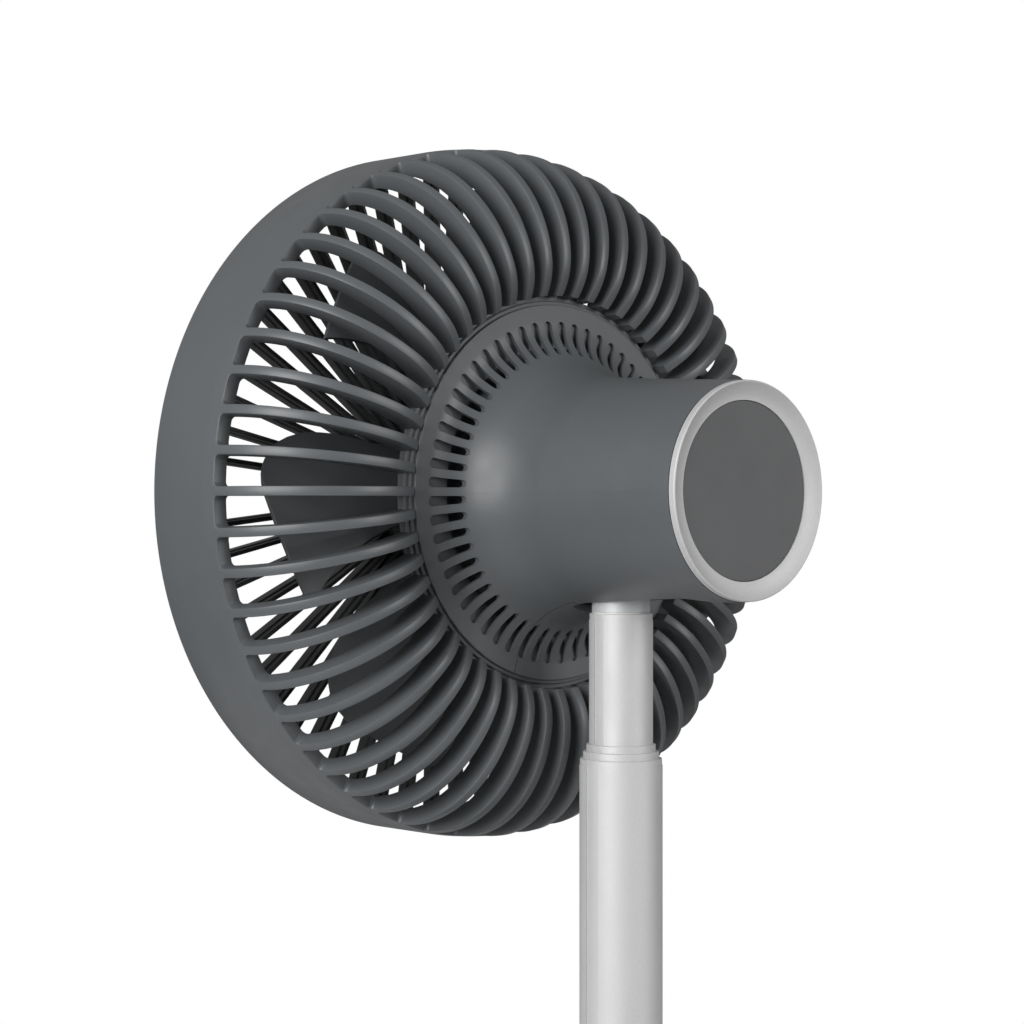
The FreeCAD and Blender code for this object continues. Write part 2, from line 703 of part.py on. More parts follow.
def trim_ring():
    """A slim ring whose face sinks in a shallow cove to the disc's seat."""
    turn = math.sqrt(0.5)
    rim_c = (TRIM_R - TRIM_ROUND, TRIM_REAR_Y - TRIM_ROUND)
    rim_mid = on_fan(rim_c[0] + TRIM_ROUND * turn, rim_c[1] + TRIM_ROUND * turn)
    in_r = DISC_R + TRIM_DISC_GAP
    in_y = DISC_REAR_Y + DISC_SINK
    cove_mid = on_fan((rim_c[0] + in_r) / 2, (TRIM_REAR_Y + in_y) / 2 - TRIM_COVE)
    edges = [
        line(on_fan(TRIM_SPIGOT_R, TRIM_SPIGOT_Y), on_fan(TRIM_SPIGOT_R, TRIM_FRONT_Y)),
        line(on_fan(TRIM_SPIGOT_R, TRIM_FRONT_Y), on_fan(TRIM_R, TRIM_FRONT_Y)),
        line(on_fan(TRIM_R, TRIM_FRONT_Y), on_fan(TRIM_R, rim_c[1])),
        arc(on_fan(TRIM_R, rim_c[1]), rim_mid, on_fan(rim_c[0], TRIM_REAR_Y)),
        arc(on_fan(rim_c[0], TRIM_REAR_Y), cove_mid, on_fan(in_r, in_y)),
        line(on_fan(in_r, in_y), on_fan(in_r, TRIM_LEDGE_Y)),
        line(on_fan(in_r, TRIM_LEDGE_Y), on_fan(TRIM_LEDGE_R, TRIM_LEDGE_Y)),
        line(on_fan(TRIM_LEDGE_R, TRIM_LEDGE_Y), on_fan(TRIM_LEDGE_R, TRIM_SPIGOT_Y)),
        line(on_fan(TRIM_LEDGE_R, TRIM_SPIGOT_Y), on_fan(TRIM_SPIGOT_R, TRIM_SPIGOT_Y)),
    ]
    return lathe_fan(face_of(edges))


def rear_disc():
    disc = fan_ring(DISC_R, 0, TRIM_LEDGE_Y, DISC_REAR_Y)
    rim = [edge for edge in disc.Edges if edge.Closed and edge.BoundBox.YMin > DISC_REAR_Y - NEAR]
    return disc.makeFillet(DISC_ROUND, rim)


# ================================================================ tilt joint and neck
def sideways_cylinder(radius, x_low, x_high):
    """A round bar along X on the tilt pin's axis."""
    return Part.makeCylinder(radius, x_high - x_low, V(x_low, 0, AXIS_Z), SIDEWAYS)


def bracket_screw_places():
    return [(sx * BRACKET_SCREW_X, sz * BRACKET_SCREW_Z) for sx in (-1, 1) for sz in (-1, 1)]


def bracket_screw_hole(x, z):
    place = V(x, CAN_REAR_Y - CAN_WALL, AXIS_Z + z)
    return Part.makeCylinder(BRACKET_SCREW_R, CAN_WALL + BRACKET_THICK, place, REARWARD)


def tilt_bracket():
    front_y = CAN_REAR_Y
    rear_y = front_y + BRACKET_THICK
    half = BRACKET_HALF
    shapes = [box(-half, half, front_y, rear_y, AXIS_Z - half, AXIS_Z + half)]
    for side in (-1, 1):
        x_low = min(side * EAR_IN_X, side * (EAR_IN_X + EAR_THICK))
        x_high = x_low + EAR_THICK
        shapes.append(box(x_low, x_high, rear_y - BRACKET_THICK, 0, AXIS_Z - EAR_R, AXIS_Z + EAR_R))
        shapes.append(sideways_cylinder(EAR_R, x_low, x_high))
    bracket = joined(shapes)
    reach = EAR_IN_X + EAR_THICK
    bracket = bracket.cut(sideways_cylinder(PIN_R, -reach, reach))
    holes = [bracket_screw_hole(x, z) for x, z in bracket_screw_places()]
    sinks = []
    for x, z in bracket_screw_places():
        place = V(x, rear_y - BRACKET_THICK / 2, AXIS_Z + z)
        sinks.append(Part.makeCylinder(BRACKET_SCREW_R * 2, BRACKET_THICK, place, REARWARD))
    return bracket.cut(Part.Compound(holes)).cut(Part.Compound(sinks))


def bracket_screws():
    screws = []
    for x, z in bracket_screw_places():
        shank = bracket_screw_hole(x, z)
        place = V(x, CAN_REAR_Y + BRACKET_THICK / 2, AXIS_Z + z)
        head = Part.makeCylinder(BRACKET_SCREW_R * 2, BRACKET_THICK / 2, place, REARWARD)
        screws.append(shank.fuse(head).removeSplitter())
    return Part.Compound(screws)


def tilt_pin():
    reach = EAR_IN_X + EAR_THICK
    shank = sideways_cylinder(PIN_R, -reach, reach + NUT_H)
    head = sideways_cylinder(PIN_HEAD_R, -reach - PIN_HEAD_H, -reach)
    return shank.fuse(head).removeSplitter()


def tilt_nut():
    start = EAR_IN_X + EAR_THICK
    corner_r = NUT_FLATS / 2 / math.cos(math.radians(30.0))
    points = []
    for y, z in ring_points(corner_r, (0, 60, 120, 180, 240, 300)):
        points.append(V(start, y, AXIS_Z + z))
    nut = polygon(points).extrude(V(NUT_H, 0, 0))
    return nut.cut(sideways_cylinder(PIN_R, start, start + NUT_H))


def friction_washers():
    washers = []
    for x_low in (-EAR_IN_X, EAR_IN_X - WASHER_THICK):
        disc = sideways_cylinder(WASHER_R, x_low, x_low + WASHER_THICK)
        washers.append(disc.cut(sideways_cylinder(PIN_R, x_low, x_low + WASHER_THICK)))
    return Part.Compound(washers)


def neck_post():
    shoulder_z = AXIS_Z - NECK_SHOULDER
    body = pole_ring(NECK_R, 0, shoulder_z, AXIS_Z - NECK_CUT_TOP)
    body = body.common(box(-EYE_HALF - NECK_R, EYE_HALF + NECK_R, -NECK_R, NECK_R, shoulder_z, AXIS_Z))
    for side in (-1, 1):
        x_low = min(side * EYE_HALF, side * 2 * EYE_HALF)
        body = body.cut(box(x_low, x_low + EYE_HALF, -NECK_R, NECK_R, CHEEK_Z, AXIS_Z))
    eye = sideways_cylinder(EYE_R, -EYE_HALF, EYE_HALF)
    spigot = pole_ring(SPIGOT_R, 0, AXIS_Z - SPIGOT_END, shoulder_z)
    post = joined([body, eye, spigot])
    post = post.cut(sideways_cylinder(PIN_R + RUNNING_GAP, -EYE_HALF, EYE_HALF))
    post = post.cut(pole_ring(WIRE_BORE_R, 0, AXIS_Z - SPIGOT_END, CHEEK_Z))
    clip_z = AXIS_Z - CLIP_DROP - CLIP_THICK
    return post.cut(pole_ring(SPIGOT_R, CLIP_GROOVE_R, clip_z, clip_z + CLIP_THICK))


def swivel_clip():
    clip_z = AXIS_Z - CLIP_DROP - CLIP_THICK
    ring = pole_ring(CLIP_R, CLIP_GROOVE_R, clip_z, clip_z + CLIP_THICK)
    mouth = box(0, CLIP_R, -CLIP_MOUTH_HALF, CLIP_MOUTH_HALF, clip_z, clip_z + CLIP_THICK)
    return ring.cut(mouth)


def swivel_bush():
    inner_r = tube_radius(3) - TOP_TUBE_WALL
    return pole_ring(inner_r, SPIGOT_R + RUNNING_GAP, AXIS_Z - BUSH_END, AXIS_Z - BUSH_TOP)


# ================================================================ pole
def tube_radius(index):
    return POLE_R - POLE_STEP * index


def rim_z(index):
    return AXIS_Z - RIM_DROPS[index]


def sector(half_deg, inner, outer, z_low, z_high):
    """A slice of a ring, centred on +X."""
    turn = math.radians(half_deg)
    side = math.sin(turn)
    front = math.cos(turn)
    outer_left = V(outer * front, -outer * side, z_low)
    outer_right = V(outer * front, outer * side, z_low)
    inner_left = V(inner * front, -inner * side, z_low)
    inner_right = V(inner * front, inner * side, z_low)
    face = face_of([
        arc(outer_left, V(outer, 0, z_low), outer_right),
        line(outer_right, inner_right),
        arc(inner_right, V(inner, 0, z_low), inner_left),
        line(inner_left, outer_left),
    ])
    return face.extrude(V(0, 0, z_high - z_low))


def keyed_ring(outer, inner, floor, ridge, z_low, z_high):
    """A ring with a key groove outside and, where ridge is below inner, a ridge inside."""
    ring = pole_ring(outer, inner, z_low, z_high)
    ring = ring.cut(sector(GROOVE_DEG, floor, outer + TUBE_WALL, z_low, z_high))
    if ridge < inner:
        ring = ring.fuse(sector(RIDGE_DEG, ridge, inner + TUBE_WALL / 4, z_low, z_high)).removeSplitter()
    return ring


def pole_tube(index):
    outer = tube_radius(index)
    last = index == len(RIM_DROPS) - 1
    wall = TOP_TUBE_WALL if last else TUBE_WALL
    inner = outer - wall
    ridge = inner if last else inner - GROOVE_DEPTH
    z_high = rim_z(index) - COLLAR_H
    tube = keyed_ring(outer, inner, outer - GROOVE_DEPTH, ridge, TUBE_BOTTOMS[index], z_high)
    if index == 0:
        tube = tube.cut(rivet_bar())
    return tube


def collar(index):
    outer = tube_radius(index)
    last = index == len(RIM_DROPS) - 1
    inner = outer - TOP_TUBE_WALL if last else outer - POLE_STEP + SLIDE_GAP
    ridge = inner if last else outer - TUBE_WALL - GROOVE_DEPTH
    z_high = rim_z(index)
    outside = outer - COLLAR_INSET
    ring = keyed_ring(outside, inner, outer - GROOVE_DEPTH, ridge, z_high - COLLAR_H, z_high)
    rim = [edge for edge in edges_at_height(ring, z_high) if is_outer_rim(edge, outside)]
    return ring.makeChamfer(COLLAR_CHAMFER, rim)


def is_outer_rim(edge, radius):
    """True where the edge runs round the pole's axis at this radius."""
    return all(abs(math.hypot(point.x, point.y) - radius) < NEAR for point in edge.discretize(5))


def glide(index):
    """Plastic foot ring that keeps a tube centred in the one around it."""
    outer = tube_radius(index - 1) - TUBE_WALL - SLIDE_GAP
    floor = tube_radius(index) - GROOVE_DEPTH
    inner = outer - GLIDE_WALL
    z_high = TUBE_BOTTOMS[index]
    return keyed_ring(outer, inner, floor, inner, z_high - GLIDE_H, z_high)


def rivet_bar():
    return Part.makeCylinder(RIVET_R, POLE_R, V(0, POLE_R / 2, AXIS_Z - RIVET_DROP), REARWARD)


def collar_rivet():
    z = AXIS_Z - RIVET_DROP
    wall = pole_ring(POLE_R + RIVET_PROUD, POLE_R - TUBE_WALL, z - RIVET_R * 2, z + RIVET_R * 2)
    return rivet_bar().common(wall)


# ================================================================ base
def base_section(outer_r, bottom_z, top_z, rounding):
    """Half section of a low drum with a rounded top edge."""
    turn = math.sqrt(0.5)
    shoulder = (outer_r - rounding, top_z - rounding)
    mid = V(shoulder[0] + rounding * turn, 0, shoulder[1] + rounding * turn)
    return face_of([
        line(V(0, 0, bottom_z), V(outer_r, 0, bottom_z)),
        line(V(outer_r, 0, bottom_z), V(outer_r, 0, shoulder[1])),
        arc(V(outer_r, 0, shoulder[1]), mid, V(shoulder[0], 0, top_z)),
        line(V(shoulder[0], 0, top_z), V(0, 0, top_z)),
        line(V(0, 0, top_z), V(0, 0, bottom_z)),
    ])


def base_boss_places():
    return ring_points(BASE_BOSS_RING_R, BASE_BOSS_ANGLES)


def pcb_post_places():
    return [(sx * PCB_POST_X, PANEL_Y + sy * PCB_POST_Y) for sx in (-1, 1) for sy in (-1, 1)]


def panel_block(half_x, half_y, z_low, z_high):
    """A bar with half-round ends, centred on the control panel."""
    straight = half_x - half_y
    middle = box(-straight, straight, PANEL_Y - half_y, PANEL_Y + half_y, z_low, z_high)
    left = Part.makeCylinder(half_y, z_high - z_low, V(-straight, PANEL_Y, z_low))
    right = Part.makeCylinder(half_y, z_high - z_low, V(straight, PANEL_Y, z_low))
    return joined([middle, left, right])


def base_shell():
    roof_z = BASE_TOP_Z - SHELL_WALL
    outside = lathe_pole(base_section(BASE_R, SHELL_BOTTOM_Z, BASE_TOP_Z, SHELL_ROUND))
    hollow = lathe_pole(base_section(BASE_R - SHELL_WALL, SHELL_BOTTOM_Z, roof_z, SHELL_ROUND - SHELL_WALL))
    shell = outside.cut(hollow)
    solids = [shell]
    for x, y in base_boss_places():
        post = Part.makeCylinder(BASE_BOSS_R, roof_z + POST_SINK - WEIGHT_Z1, V(x, y, WEIGHT_Z1))
        solids.append(post.cut(Part.makeCylinder(SCREW_R, BASE_SCREW_BITE, V(x, y, WEIGHT_Z1))))
    for x, y in pcb_post_places():
        z_low = PCB_Z + BOARD_THICK
        solids.append(Part.makeCylinder(PCB_POST_R, roof_z + POST_SINK - z_low, V(x, y, z_low)))
    shell = joined(solids)
    shell = shell.cut(pole_ring(SOCKET_R, 0, roof_z, BASE_TOP_Z))
    shell = shell.cut(panel_block(PANEL_HALF_X, PANEL_HALF_Y, panel_floor_z(), BASE_TOP_Z))
    cuts = []
    for x in BUTTON_XS:
        cuts.append(Part.makeCylinder(BUTTON_WELL_R, SHELL_WALL, V(x, PANEL_Y, roof_z)))
    fit_x = INLET_HALF_X + INLET_WALL + INLET_FIT
    fit_z = INLET_HALF_Z + INLET_WALL + INLET_FIT
    cuts.append(inlet_bar(fit_x, fit_z, BASE_R - PAST, BASE_R))
    return shell.cut(Part.Compound(cuts))


def panel_floor_z():
    """Height of the floor of the pocket that the control panel sits in."""
    return BASE_TOP_Z - SHELL_WALL + PANEL_FLOOR_H


def base_screw_bar(radius, z_low, z_high):
    return [Part.makeCylinder(radius, z_high - z_low, V(x, y, z_low)) for x, y in base_boss_places()]


def base_plate():
    plate = pole_ring(BOTTOM_R, 0, PAD_H, WEIGHT_Z0)
    heads = base_screw_bar(SCREW_HEAD_R, PAD_H, PAD_H + SCREW_HEAD_H)
    shanks = base_screw_bar(SCREW_R, PAD_H, WEIGHT_Z0)
    return plate.cut(Part.Compound(heads + shanks)).cut(pole_bolt())


def pole_bolt():
    """Countersunk bolt that holds the pole socket to the bottom plate."""
    head_top = PAD_H + SOCKET_BOLT_HEAD_H
    head = pole_ring(SOCKET_BOLT_HEAD_R, 0, PAD_H, head_top)
    shank = pole_ring(SOCKET_BOLT_R, 0, head_top, SOCKET_BOLT_END_Z)
    return head.fuse(shank).removeSplitter()


def base_screws():
    screws = []
    heads = base_screw_bar(SCREW_HEAD_R, PAD_H, PAD_H + SCREW_HEAD_H)
    shanks = base_screw_bar(SCREW_R, PAD_H, WEIGHT_Z1 + BASE_SCREW_BITE - POST_SINK)
    for head, shank in zip(heads, shanks):
        screws.append(head.fuse(shank).removeSplitter())
    return Part.Compound(screws)


def base_weight():
    weight = pole_ring(WEIGHT_R, WEIGHT_IN_R, WEIGHT_Z0, WEIGHT_Z1)
    return weight.cut(Part.Compound(base_screw_bar(SCREW_R + WEIGHT_HOLE_GAP, WEIGHT_Z0, WEIGHT_Z1)))


def base_pad():
    return pole_ring(PAD_R, 0, 0, PAD_H)


def pole_socket():
    roof_z = BASE_TOP_Z - SHELL_WALL
    flange_z = roof_z - SOCKET_FLANGE_H
    barrel = pole_ring(SOCKET_R, 0, WEIGHT_Z0, SOCKET_TOP_Z)
    barrel = barrel.makeChamfer(SOCKET_CHAMFER, edges_at_height(barrel, SOCKET_TOP_Z))
    flange = pole_ring(SOCKET_FLANGE_R, 0, flange_z, roof_z)
    socket = joined([barrel, flange])
    socket = socket.cut(pole_ring(SOCKET_BOLT_R, 0, WEIGHT_Z0, SOCKET_BOLT_END_Z))
    return socket.cut(pole_ring(POLE_R, 0, TUBE_BOTTOMS[0], SOCKET_TOP_Z))


def control_panel():
    gap = PANEL_SKIRT_GAP
    panel = panel_block(PANEL_HALF_X - gap, PANEL_HALF_Y - gap, panel_floor_z(), PANEL_TOP_Z)
    for x in BUTTON_XS:
        panel = panel.cut(Part.makeCylinder(BUTTON_HOLE_R, PAST, V(x, PANEL_Y, BASE_TOP_Z - PAST / 2)))
    return panel.makeFillet(PANEL_ROUND, edges_at_height(panel, PANEL_TOP_Z))


def button(x):
    cap = Part.makeCylinder(BUTTON_R, BUTTON_TOP_Z - BUTTON_LOW_Z, V(x, PANEL_Y, BUTTON_LOW_Z))
    lip = Part.makeCylinder(BUTTON_LIP_R, BUTTON_LIP_H, V(x, PANEL_Y, BUTTON_LOW_Z))
    ball = Part.makeSphere(BUTTON_DISH_R, V(x, PANEL_Y, BUTTON_TOP_Z + BUTTON_DISH_R - BUTTON_DISH_DEPTH))
    cap = cap.fuse(lip).removeSplitter()
    cap = cap.makeFillet(BUTTON_ROUND, edges_at_height(cap, BUTTON_TOP_Z))
    return cap.cut(ball)


def button_switches():
    switches = []
    z = PCB_Z + BOARD_THICK
    for x in BUTTON_XS:
        half = SWITCH_HALF
        body = box(x - half, x + half, PANEL_Y - half, PANEL_Y + half, z, z + SWITCH_H)
        stem = Part.makeCylinder(SWITCH_STEM_R, SWITCH_H + SWITCH_STEM_H, V(x, PANEL_Y, z))
        switches.append(body.fuse(stem).removeSplitter())
    return Part.Compound(switches)


def control_board():
    y_low = PANEL_Y - PCB_HALF_Y
    y_high = PANEL_Y + PCB_HALF_Y
    return box(-PCB_HALF_X, PCB_HALF_X, y_low, y_high, PCB_Z, PCB_Z + BOARD_THICK)


def cell_axis_z():
    return WEIGHT_Z1 + TRAY_FLOOR_H + CELL_R


def battery_cells():
    cells = []
    for y in CELL_ROWS:
        for x in (-CELL_GAP / 2 - CELL_LENGTH, CELL_GAP / 2):
            body = Part.makeCylinder(CELL_R, CELL_LENGTH - CELL_NUB_H, V(x, y, cell_axis_z()), SIDEWAYS)
            nub = Part.makeCylinder(CELL_NUB_R, CELL_LENGTH, V(x, y, cell_axis_z()), SIDEWAYS)
            cells.append(body.fuse(nub).removeSplitter())
    return Part.Compound(cells)


def battery_tray():
    reach = CELL_GAP / 2 + CELL_LENGTH + TRAY_CLEAR
    y_low = CELL_ROWS[0] - CELL_R - TRAY_CLEAR
    y_high = CELL_ROWS[1] + CELL_R + TRAY_CLEAR
    m = TRAY_MARGIN
    tray = box(-reach - m, reach + m, y_low - m, y_high + m, WEIGHT_Z1, WEIGHT_Z1 + TRAY_WALL_H)
    return tray.cut(box(-reach, reach, y_low, y_high, WEIGHT_Z1 + TRAY_FLOOR_H, WEIGHT_Z1 + TRAY_WALL_H))


def inlet_bar(half_x, half_z, y_low, y_high):
    """A flat rounded bar along Y at the charging inlet."""
    straight = half_x - half_z
    length = y_high - y_low
    middle = box(-straight, straight, y_low, y_high, INLET_Z - half_z, INLET_Z + half_z)
    left = Part.makeCylinder(half_z, length, V(-straight, y_low, INLET_Z), REARWARD)
    right = Part.makeCylinder(half_z, length, V(straight, y_low, INLET_Z), REARWARD)
    return joined([middle, left, right])


def usb_inlet():
    y_low = INLET_FACE_Y - INLET_DEPTH
    wall = INLET_WALL
    outside = inlet_bar(INLET_HALF_X + wall, INLET_HALF_Z + wall, y_low, INLET_FACE_Y)
    inside = inlet_bar(INLET_HALF_X, INLET_HALF_Z, y_low + INLET_SHELL_H, INLET_FACE_Y)
    tx = INLET_TONGUE_HALF_X
    tz = INLET_TONGUE_HALF_Z
    tongue = box(-tx, tx, y_low, INLET_FACE_Y - INLET_SHELL_H, INLET_Z - tz, INLET_Z + tz)
    return joined([outside.cut(inside), tongue])


def charge_board():
    y_low, y_high = CHARGE_BOARD_YS
    return box(-CHARGE_BOARD_HALF_X, CHARGE_BOARD_HALF_X, y_low, y_high, WEIGHT_Z1, WEIGHT_Z1 + BOARD_THICK)


# ================================================================ write the pieces
def build():
    os.makedirs("parts", exist_ok=True)
    front_bearing_y = PLATE_FRONT_Y + CAN_WALL
    rear_bearing_y = CAN_REAR_Y - CAN_WALL - BEARING_LENGTH
    shell = vented_shell()
    pieces = {
        "rear_grille": rear_grille(),
        "front_grille": front_grille(),
        "front_cap": front_cap(),
        "motor_plate": motor_plate(),
        "motor_can": motor_can(),
        "stator": stator(),
        "rotor": rotor(),
        "front_bearing": bearing(front_bearing_y),
        "rear_bearing": bearing(rear_bearing_y),
        "motor_shaft": motor_shaft(),
        "impeller": impeller(),
        "hub_nut": hub_nut(),
        "motor_housing": motor_housing(shell),
        "bottom_cover": bottom_cover(shell),
        "housing_screws": housing_screws(),
        "grille_screws": grille_screws(),
        "trim_ring": trim_ring(),
        "rear_disc": rear_disc(),
        "tilt_bracket": tilt_bracket(),
        "bracket_screws": bracket_screws(),
        "tilt_pin": tilt_pin(),
        "tilt_nut": tilt_nut(),
        "friction_washers": friction_washers(),
        "neck_post": neck_post(),
        "swivel_clip": swivel_clip(),
        "swivel_bush": swivel_bush(),
        "collar_rivet": collar_rivet(),
        "pole_socket": pole_socket(),
        "pole_bolt": pole_bolt(),
        "base_shell": base_shell(),
        "base_plate": base_plate(),
        "base_screws": base_screws(),
        "base_weight": base_weight(),
        "base_pad": base_pad(),
        "control_panel": control_panel(),
        "button_switches": button_switches(),
        "control_board": control_board(),
        "battery_cells": battery_cells(),
        "battery_tray": battery_tray(),
        "usb_inlet": usb_inlet(),
        "charge_board": charge_board(),
    }
    for index in range(len(RIM_DROPS)):
        pieces["pole_tube_%d" % (index + 1)] = pole_tube(index)
        pieces["pole_collar_%d" % (index + 1)] = collar(index)
        if index > 0:
            pieces["pole_glide_%d" % (index + 1)] = glide(index)
    for name, x in zip(BUTTON_NAMES, BUTTON_XS):
        pieces[name] = button(x)
    for name, shape in pieces.items():
        save(name, shape)


build()
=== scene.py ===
import json
import math

import bmesh
import bpy
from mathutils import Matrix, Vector


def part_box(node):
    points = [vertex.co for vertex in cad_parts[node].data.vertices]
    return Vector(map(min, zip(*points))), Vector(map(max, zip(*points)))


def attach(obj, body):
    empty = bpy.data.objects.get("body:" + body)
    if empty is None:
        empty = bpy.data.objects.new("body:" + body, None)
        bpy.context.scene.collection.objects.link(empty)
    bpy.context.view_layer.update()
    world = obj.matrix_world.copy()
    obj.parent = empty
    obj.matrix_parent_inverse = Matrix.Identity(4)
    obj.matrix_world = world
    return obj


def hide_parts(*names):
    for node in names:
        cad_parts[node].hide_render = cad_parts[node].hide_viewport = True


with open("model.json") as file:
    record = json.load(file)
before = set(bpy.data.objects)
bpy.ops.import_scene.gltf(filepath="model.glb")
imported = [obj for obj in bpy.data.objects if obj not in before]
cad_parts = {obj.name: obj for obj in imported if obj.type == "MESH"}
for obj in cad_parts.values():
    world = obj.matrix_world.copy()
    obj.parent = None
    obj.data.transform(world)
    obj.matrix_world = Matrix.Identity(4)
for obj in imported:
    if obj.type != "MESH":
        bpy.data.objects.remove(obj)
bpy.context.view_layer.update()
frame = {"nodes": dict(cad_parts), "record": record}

# Sizes are in millimetres and turned into metres when a mesh is made.
# The head's pieces are turned about the fan axis, which runs along Y at AXIS_Z:
# a place on the head is a radius, a y, and an angle from +X up towards +Z.
MM = 0.001
ARC_MID = 0.3                   # middle point of a rounding, as a share of its radius from both faces
LATHE_STEPS = 160
MERGE_DIST = 0.01
BEVEL_SEGMENTS = 2
SHARP_DEG = 40.0                # faces that meet at more than this show an edge

cage_low, cage_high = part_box("rear_grille")
AXIS_Z = (cage_low.z + cage_high.z) / 2 / MM
CAGE_R = (cage_high.z - cage_low.z) / 2 / MM
RIM_Y = cage_low.y / MM
FIN_COUNT = 57
PITCH = 2 * math.pi / FIN_COUNT

# ---------------------------------------------------------------- rear grille
FIN_THICK = 3.3
EDGE_ROUND = 0.38               # rounding along every fin and slot edge
BAND_WALL = 2.6
BAND_ROUND = 0.6                # rounding of the band's rim and of the rib inside it
BAND_END = 1.2                  # how far before the slots the band's own rows end
CREASE_Y = -71.75               # the band leans in behind this
CREASE_SOFT = 0.7
DOME_C = (84.6, -66.0)
DOME_R = 41.8
CURL_R = 24.0
INNER_C = (86.5, -69.4)
INNER_R = 35.0
RIB_FRONT_Y = -75.5
SLOT_END_Y = -66.3
SLOT_CORNER = 1.6
CORNER_STEPS = 6
FIN_FOOT_Y = SLOT_END_Y + SLOT_CORNER
FIN_STEPS = 30
FIN_END_R = 70.45
RING_OUT_R = 70.6
RING_LIP_R = 68.9
RING_IN_R = 52.0
RING_TOP_Y = -33.2
RING_LIP_Y = -34.4
RING_FRONT_Y = -37.5
RING_ROUND = 0.3

# ---------------------------------------------------------------- front grille
BAR_THICK = 2.5
BAR_REAR_THICK = 1.5            # the bars step in towards their rear edge
BAR_STEP_Y = -96.6
BAR_FRONT_Y = -101.2
BAR_REAR_Y = -93.6
FRONT_RIM_R = 124.3
FRONT_RIM_IN_R = 119.9
HUB_RING_R = 30.0
HUB_RING_IN_R = 24.0
HUB_FLOOR = 2.4
HUB_CENTRE_R = 0.5              # the floor's middle, under the cap, stays open
BAR_SINK = 1.2                  # how far a bar's ends run into the rim and the hub ring
BAR_ROUND = 0.35

# ---------------------------------------------------------------- impeller
BLADE_COUNT = 7
TIP_R = 105.4
BLADE_ROOT_R = 34.9
BLADE_TURN_R = 60.0             # the front edge starts to sweep round to the tip here
BLADE_THICK = 1.9
BLADE_FRONT_Y = -72.0
BLADE_REAR_Y = -51.0
BLADE_BULGE = 2.4
BLADE_ROUND = 0.45
BLADE_EDGE_DEG = 50.0           # only edges sharper than this are rounded
FRONT_ROOT_DEG = 22.0           # the front edge's angle at the root
FRONT_TURN_DEG = 16.5           # and at BLADE_TURN_R
REAR_ROOT_DEG = -10.0           # the rear edge's angle at the root
REAR_SWEEP_DEG = 12.0           # and how far it falls back to the tip
REAR_POWER = 2.3
PLANE_SWEEP_DEG = 17.0          # how much steeper the blade stands at the tip
PLANE_POWER = 1.6
ROOT_STEPS = 4
BLADE_STEPS = 14
HUB_R = 36.0
HUB_WALL = 2.4
HUB_NOSE_R = 5.0                # rounding of the hub's front corner
HUB_NOSE_STEPS = 6
HUB_STEPS = 112
HUB_FRONT_Y = -88.0
HUB_REAR_Y = -46.0
BOSS_R = 7.0
SHAFT_R = 3.0
HUB_RIBS = 6
HUB_RIB_THICK = 1.6
HUB_RIB_WALL_DROP = 6.0         # a rib ends this far inside the hub's rear edge at the wall
HUB_RIB_BOSS_DROP = 2.0         # and this far at the boss


# ================================================================ mesh helpers
class Shell:
    """Points and faces of one piece while it is being built."""

    def __init__(self):
        self.points = []
        self.faces = []

    def add(self, points):
        start = len(self.points)
        self.points.extend(points)
        return list(range(start, start + len(points)))

    def strip(self, first, second, closed=False):
        """Quads between two rows of as many points."""
        count = len(first)
        for k in range(count if closed else count - 1):
            after = (k + 1) % count
            self.faces.append((first[k], first[after], second[after], second[k]))

    def face(self, corners):
        self.faces.append(tuple(corners))

    def turned_copies(self, count):
        """This shell repeated round the fan axis."""
        whole = Shell()
        for k in range(count):
            turn = 2 * math.pi * k / count
            cos, sin = math.cos(turn), math.sin(turn)
            start = len(whole.points)
            for x, y, z in self.points:
                up = z - AXIS_Z
                whole.points.append((x * cos - up * sin, y, AXIS_Z + x * sin + up * cos))
            for face in self.faces:
                whole.faces.append(tuple(start + index for index in face))
        return whole

    def include(self, other):
        start = len(self.points)
        self.points.extend(other.points)
        for face in other.faces:
            self.faces.append(tuple(start + index for index in face))


def on_head(radius, y, turn):
    return (radius * math.cos(turn), y, AXIS_Z + radius * math.sin(turn))


def head_lathe(outline, steps=LATHE_STEPS):
    """Turns a closed outline of (radius, y) about the fan axis."""
    shell = Shell()
    rows = []
    for k in range(steps):
        turn = 2 * math.pi * k / steps
        rows.append(shell.add([on_head(radius, y, turn) for radius, y in outline]))
    for k in range(steps):
        shell.strip(rows[k], rows[(k + 1) % steps], closed=True)
    return shell


def make_object(name, shell, merge=False):
    mesh = bpy.data.meshes.new(name)
    points = [(x * MM, y * MM, z * MM) for x, y, z in shell.points]
    mesh.from_pydata(points, [], shell.faces)
    obj = bpy.data.objects.new(name, mesh)
    bpy.context.scene.collection.objects.link(obj)
    work = bmesh.new()
    work.from_mesh(mesh)
    if merge:
        bmesh.ops.remove_doubles(work, verts=work.verts, dist=MERGE_DIST * MM)
    bmesh.ops.recalc_face_normals(work, faces=work.faces)
    work.to_mesh(mesh)
    work.free()
    mesh.shade_smooth()
    mesh.set_sharp_from_angle(angle=math.radians(SHARP_DEG))
    return obj


def round_edges(obj, width, angle_deg=SHARP_DEG):
    bevel = obj.modifiers.new("edge rounding", "BEVEL")
    bevel.width = width * MM
    bevel.segments = BEVEL_SEGMENTS
    bevel.limit_method = "ANGLE"
    bevel.angle_limit = math.radians(angle_deg)
    bevel.harden_normals = True


def place(obj, body, slot, material, *nodes):
    """Puts a finished piece on its body, in the place of the CAD nodes it stands for."""
    obj.data.materials.clear()
    obj.data.materials.append(material)
    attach(obj, body)
    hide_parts(*nodes)


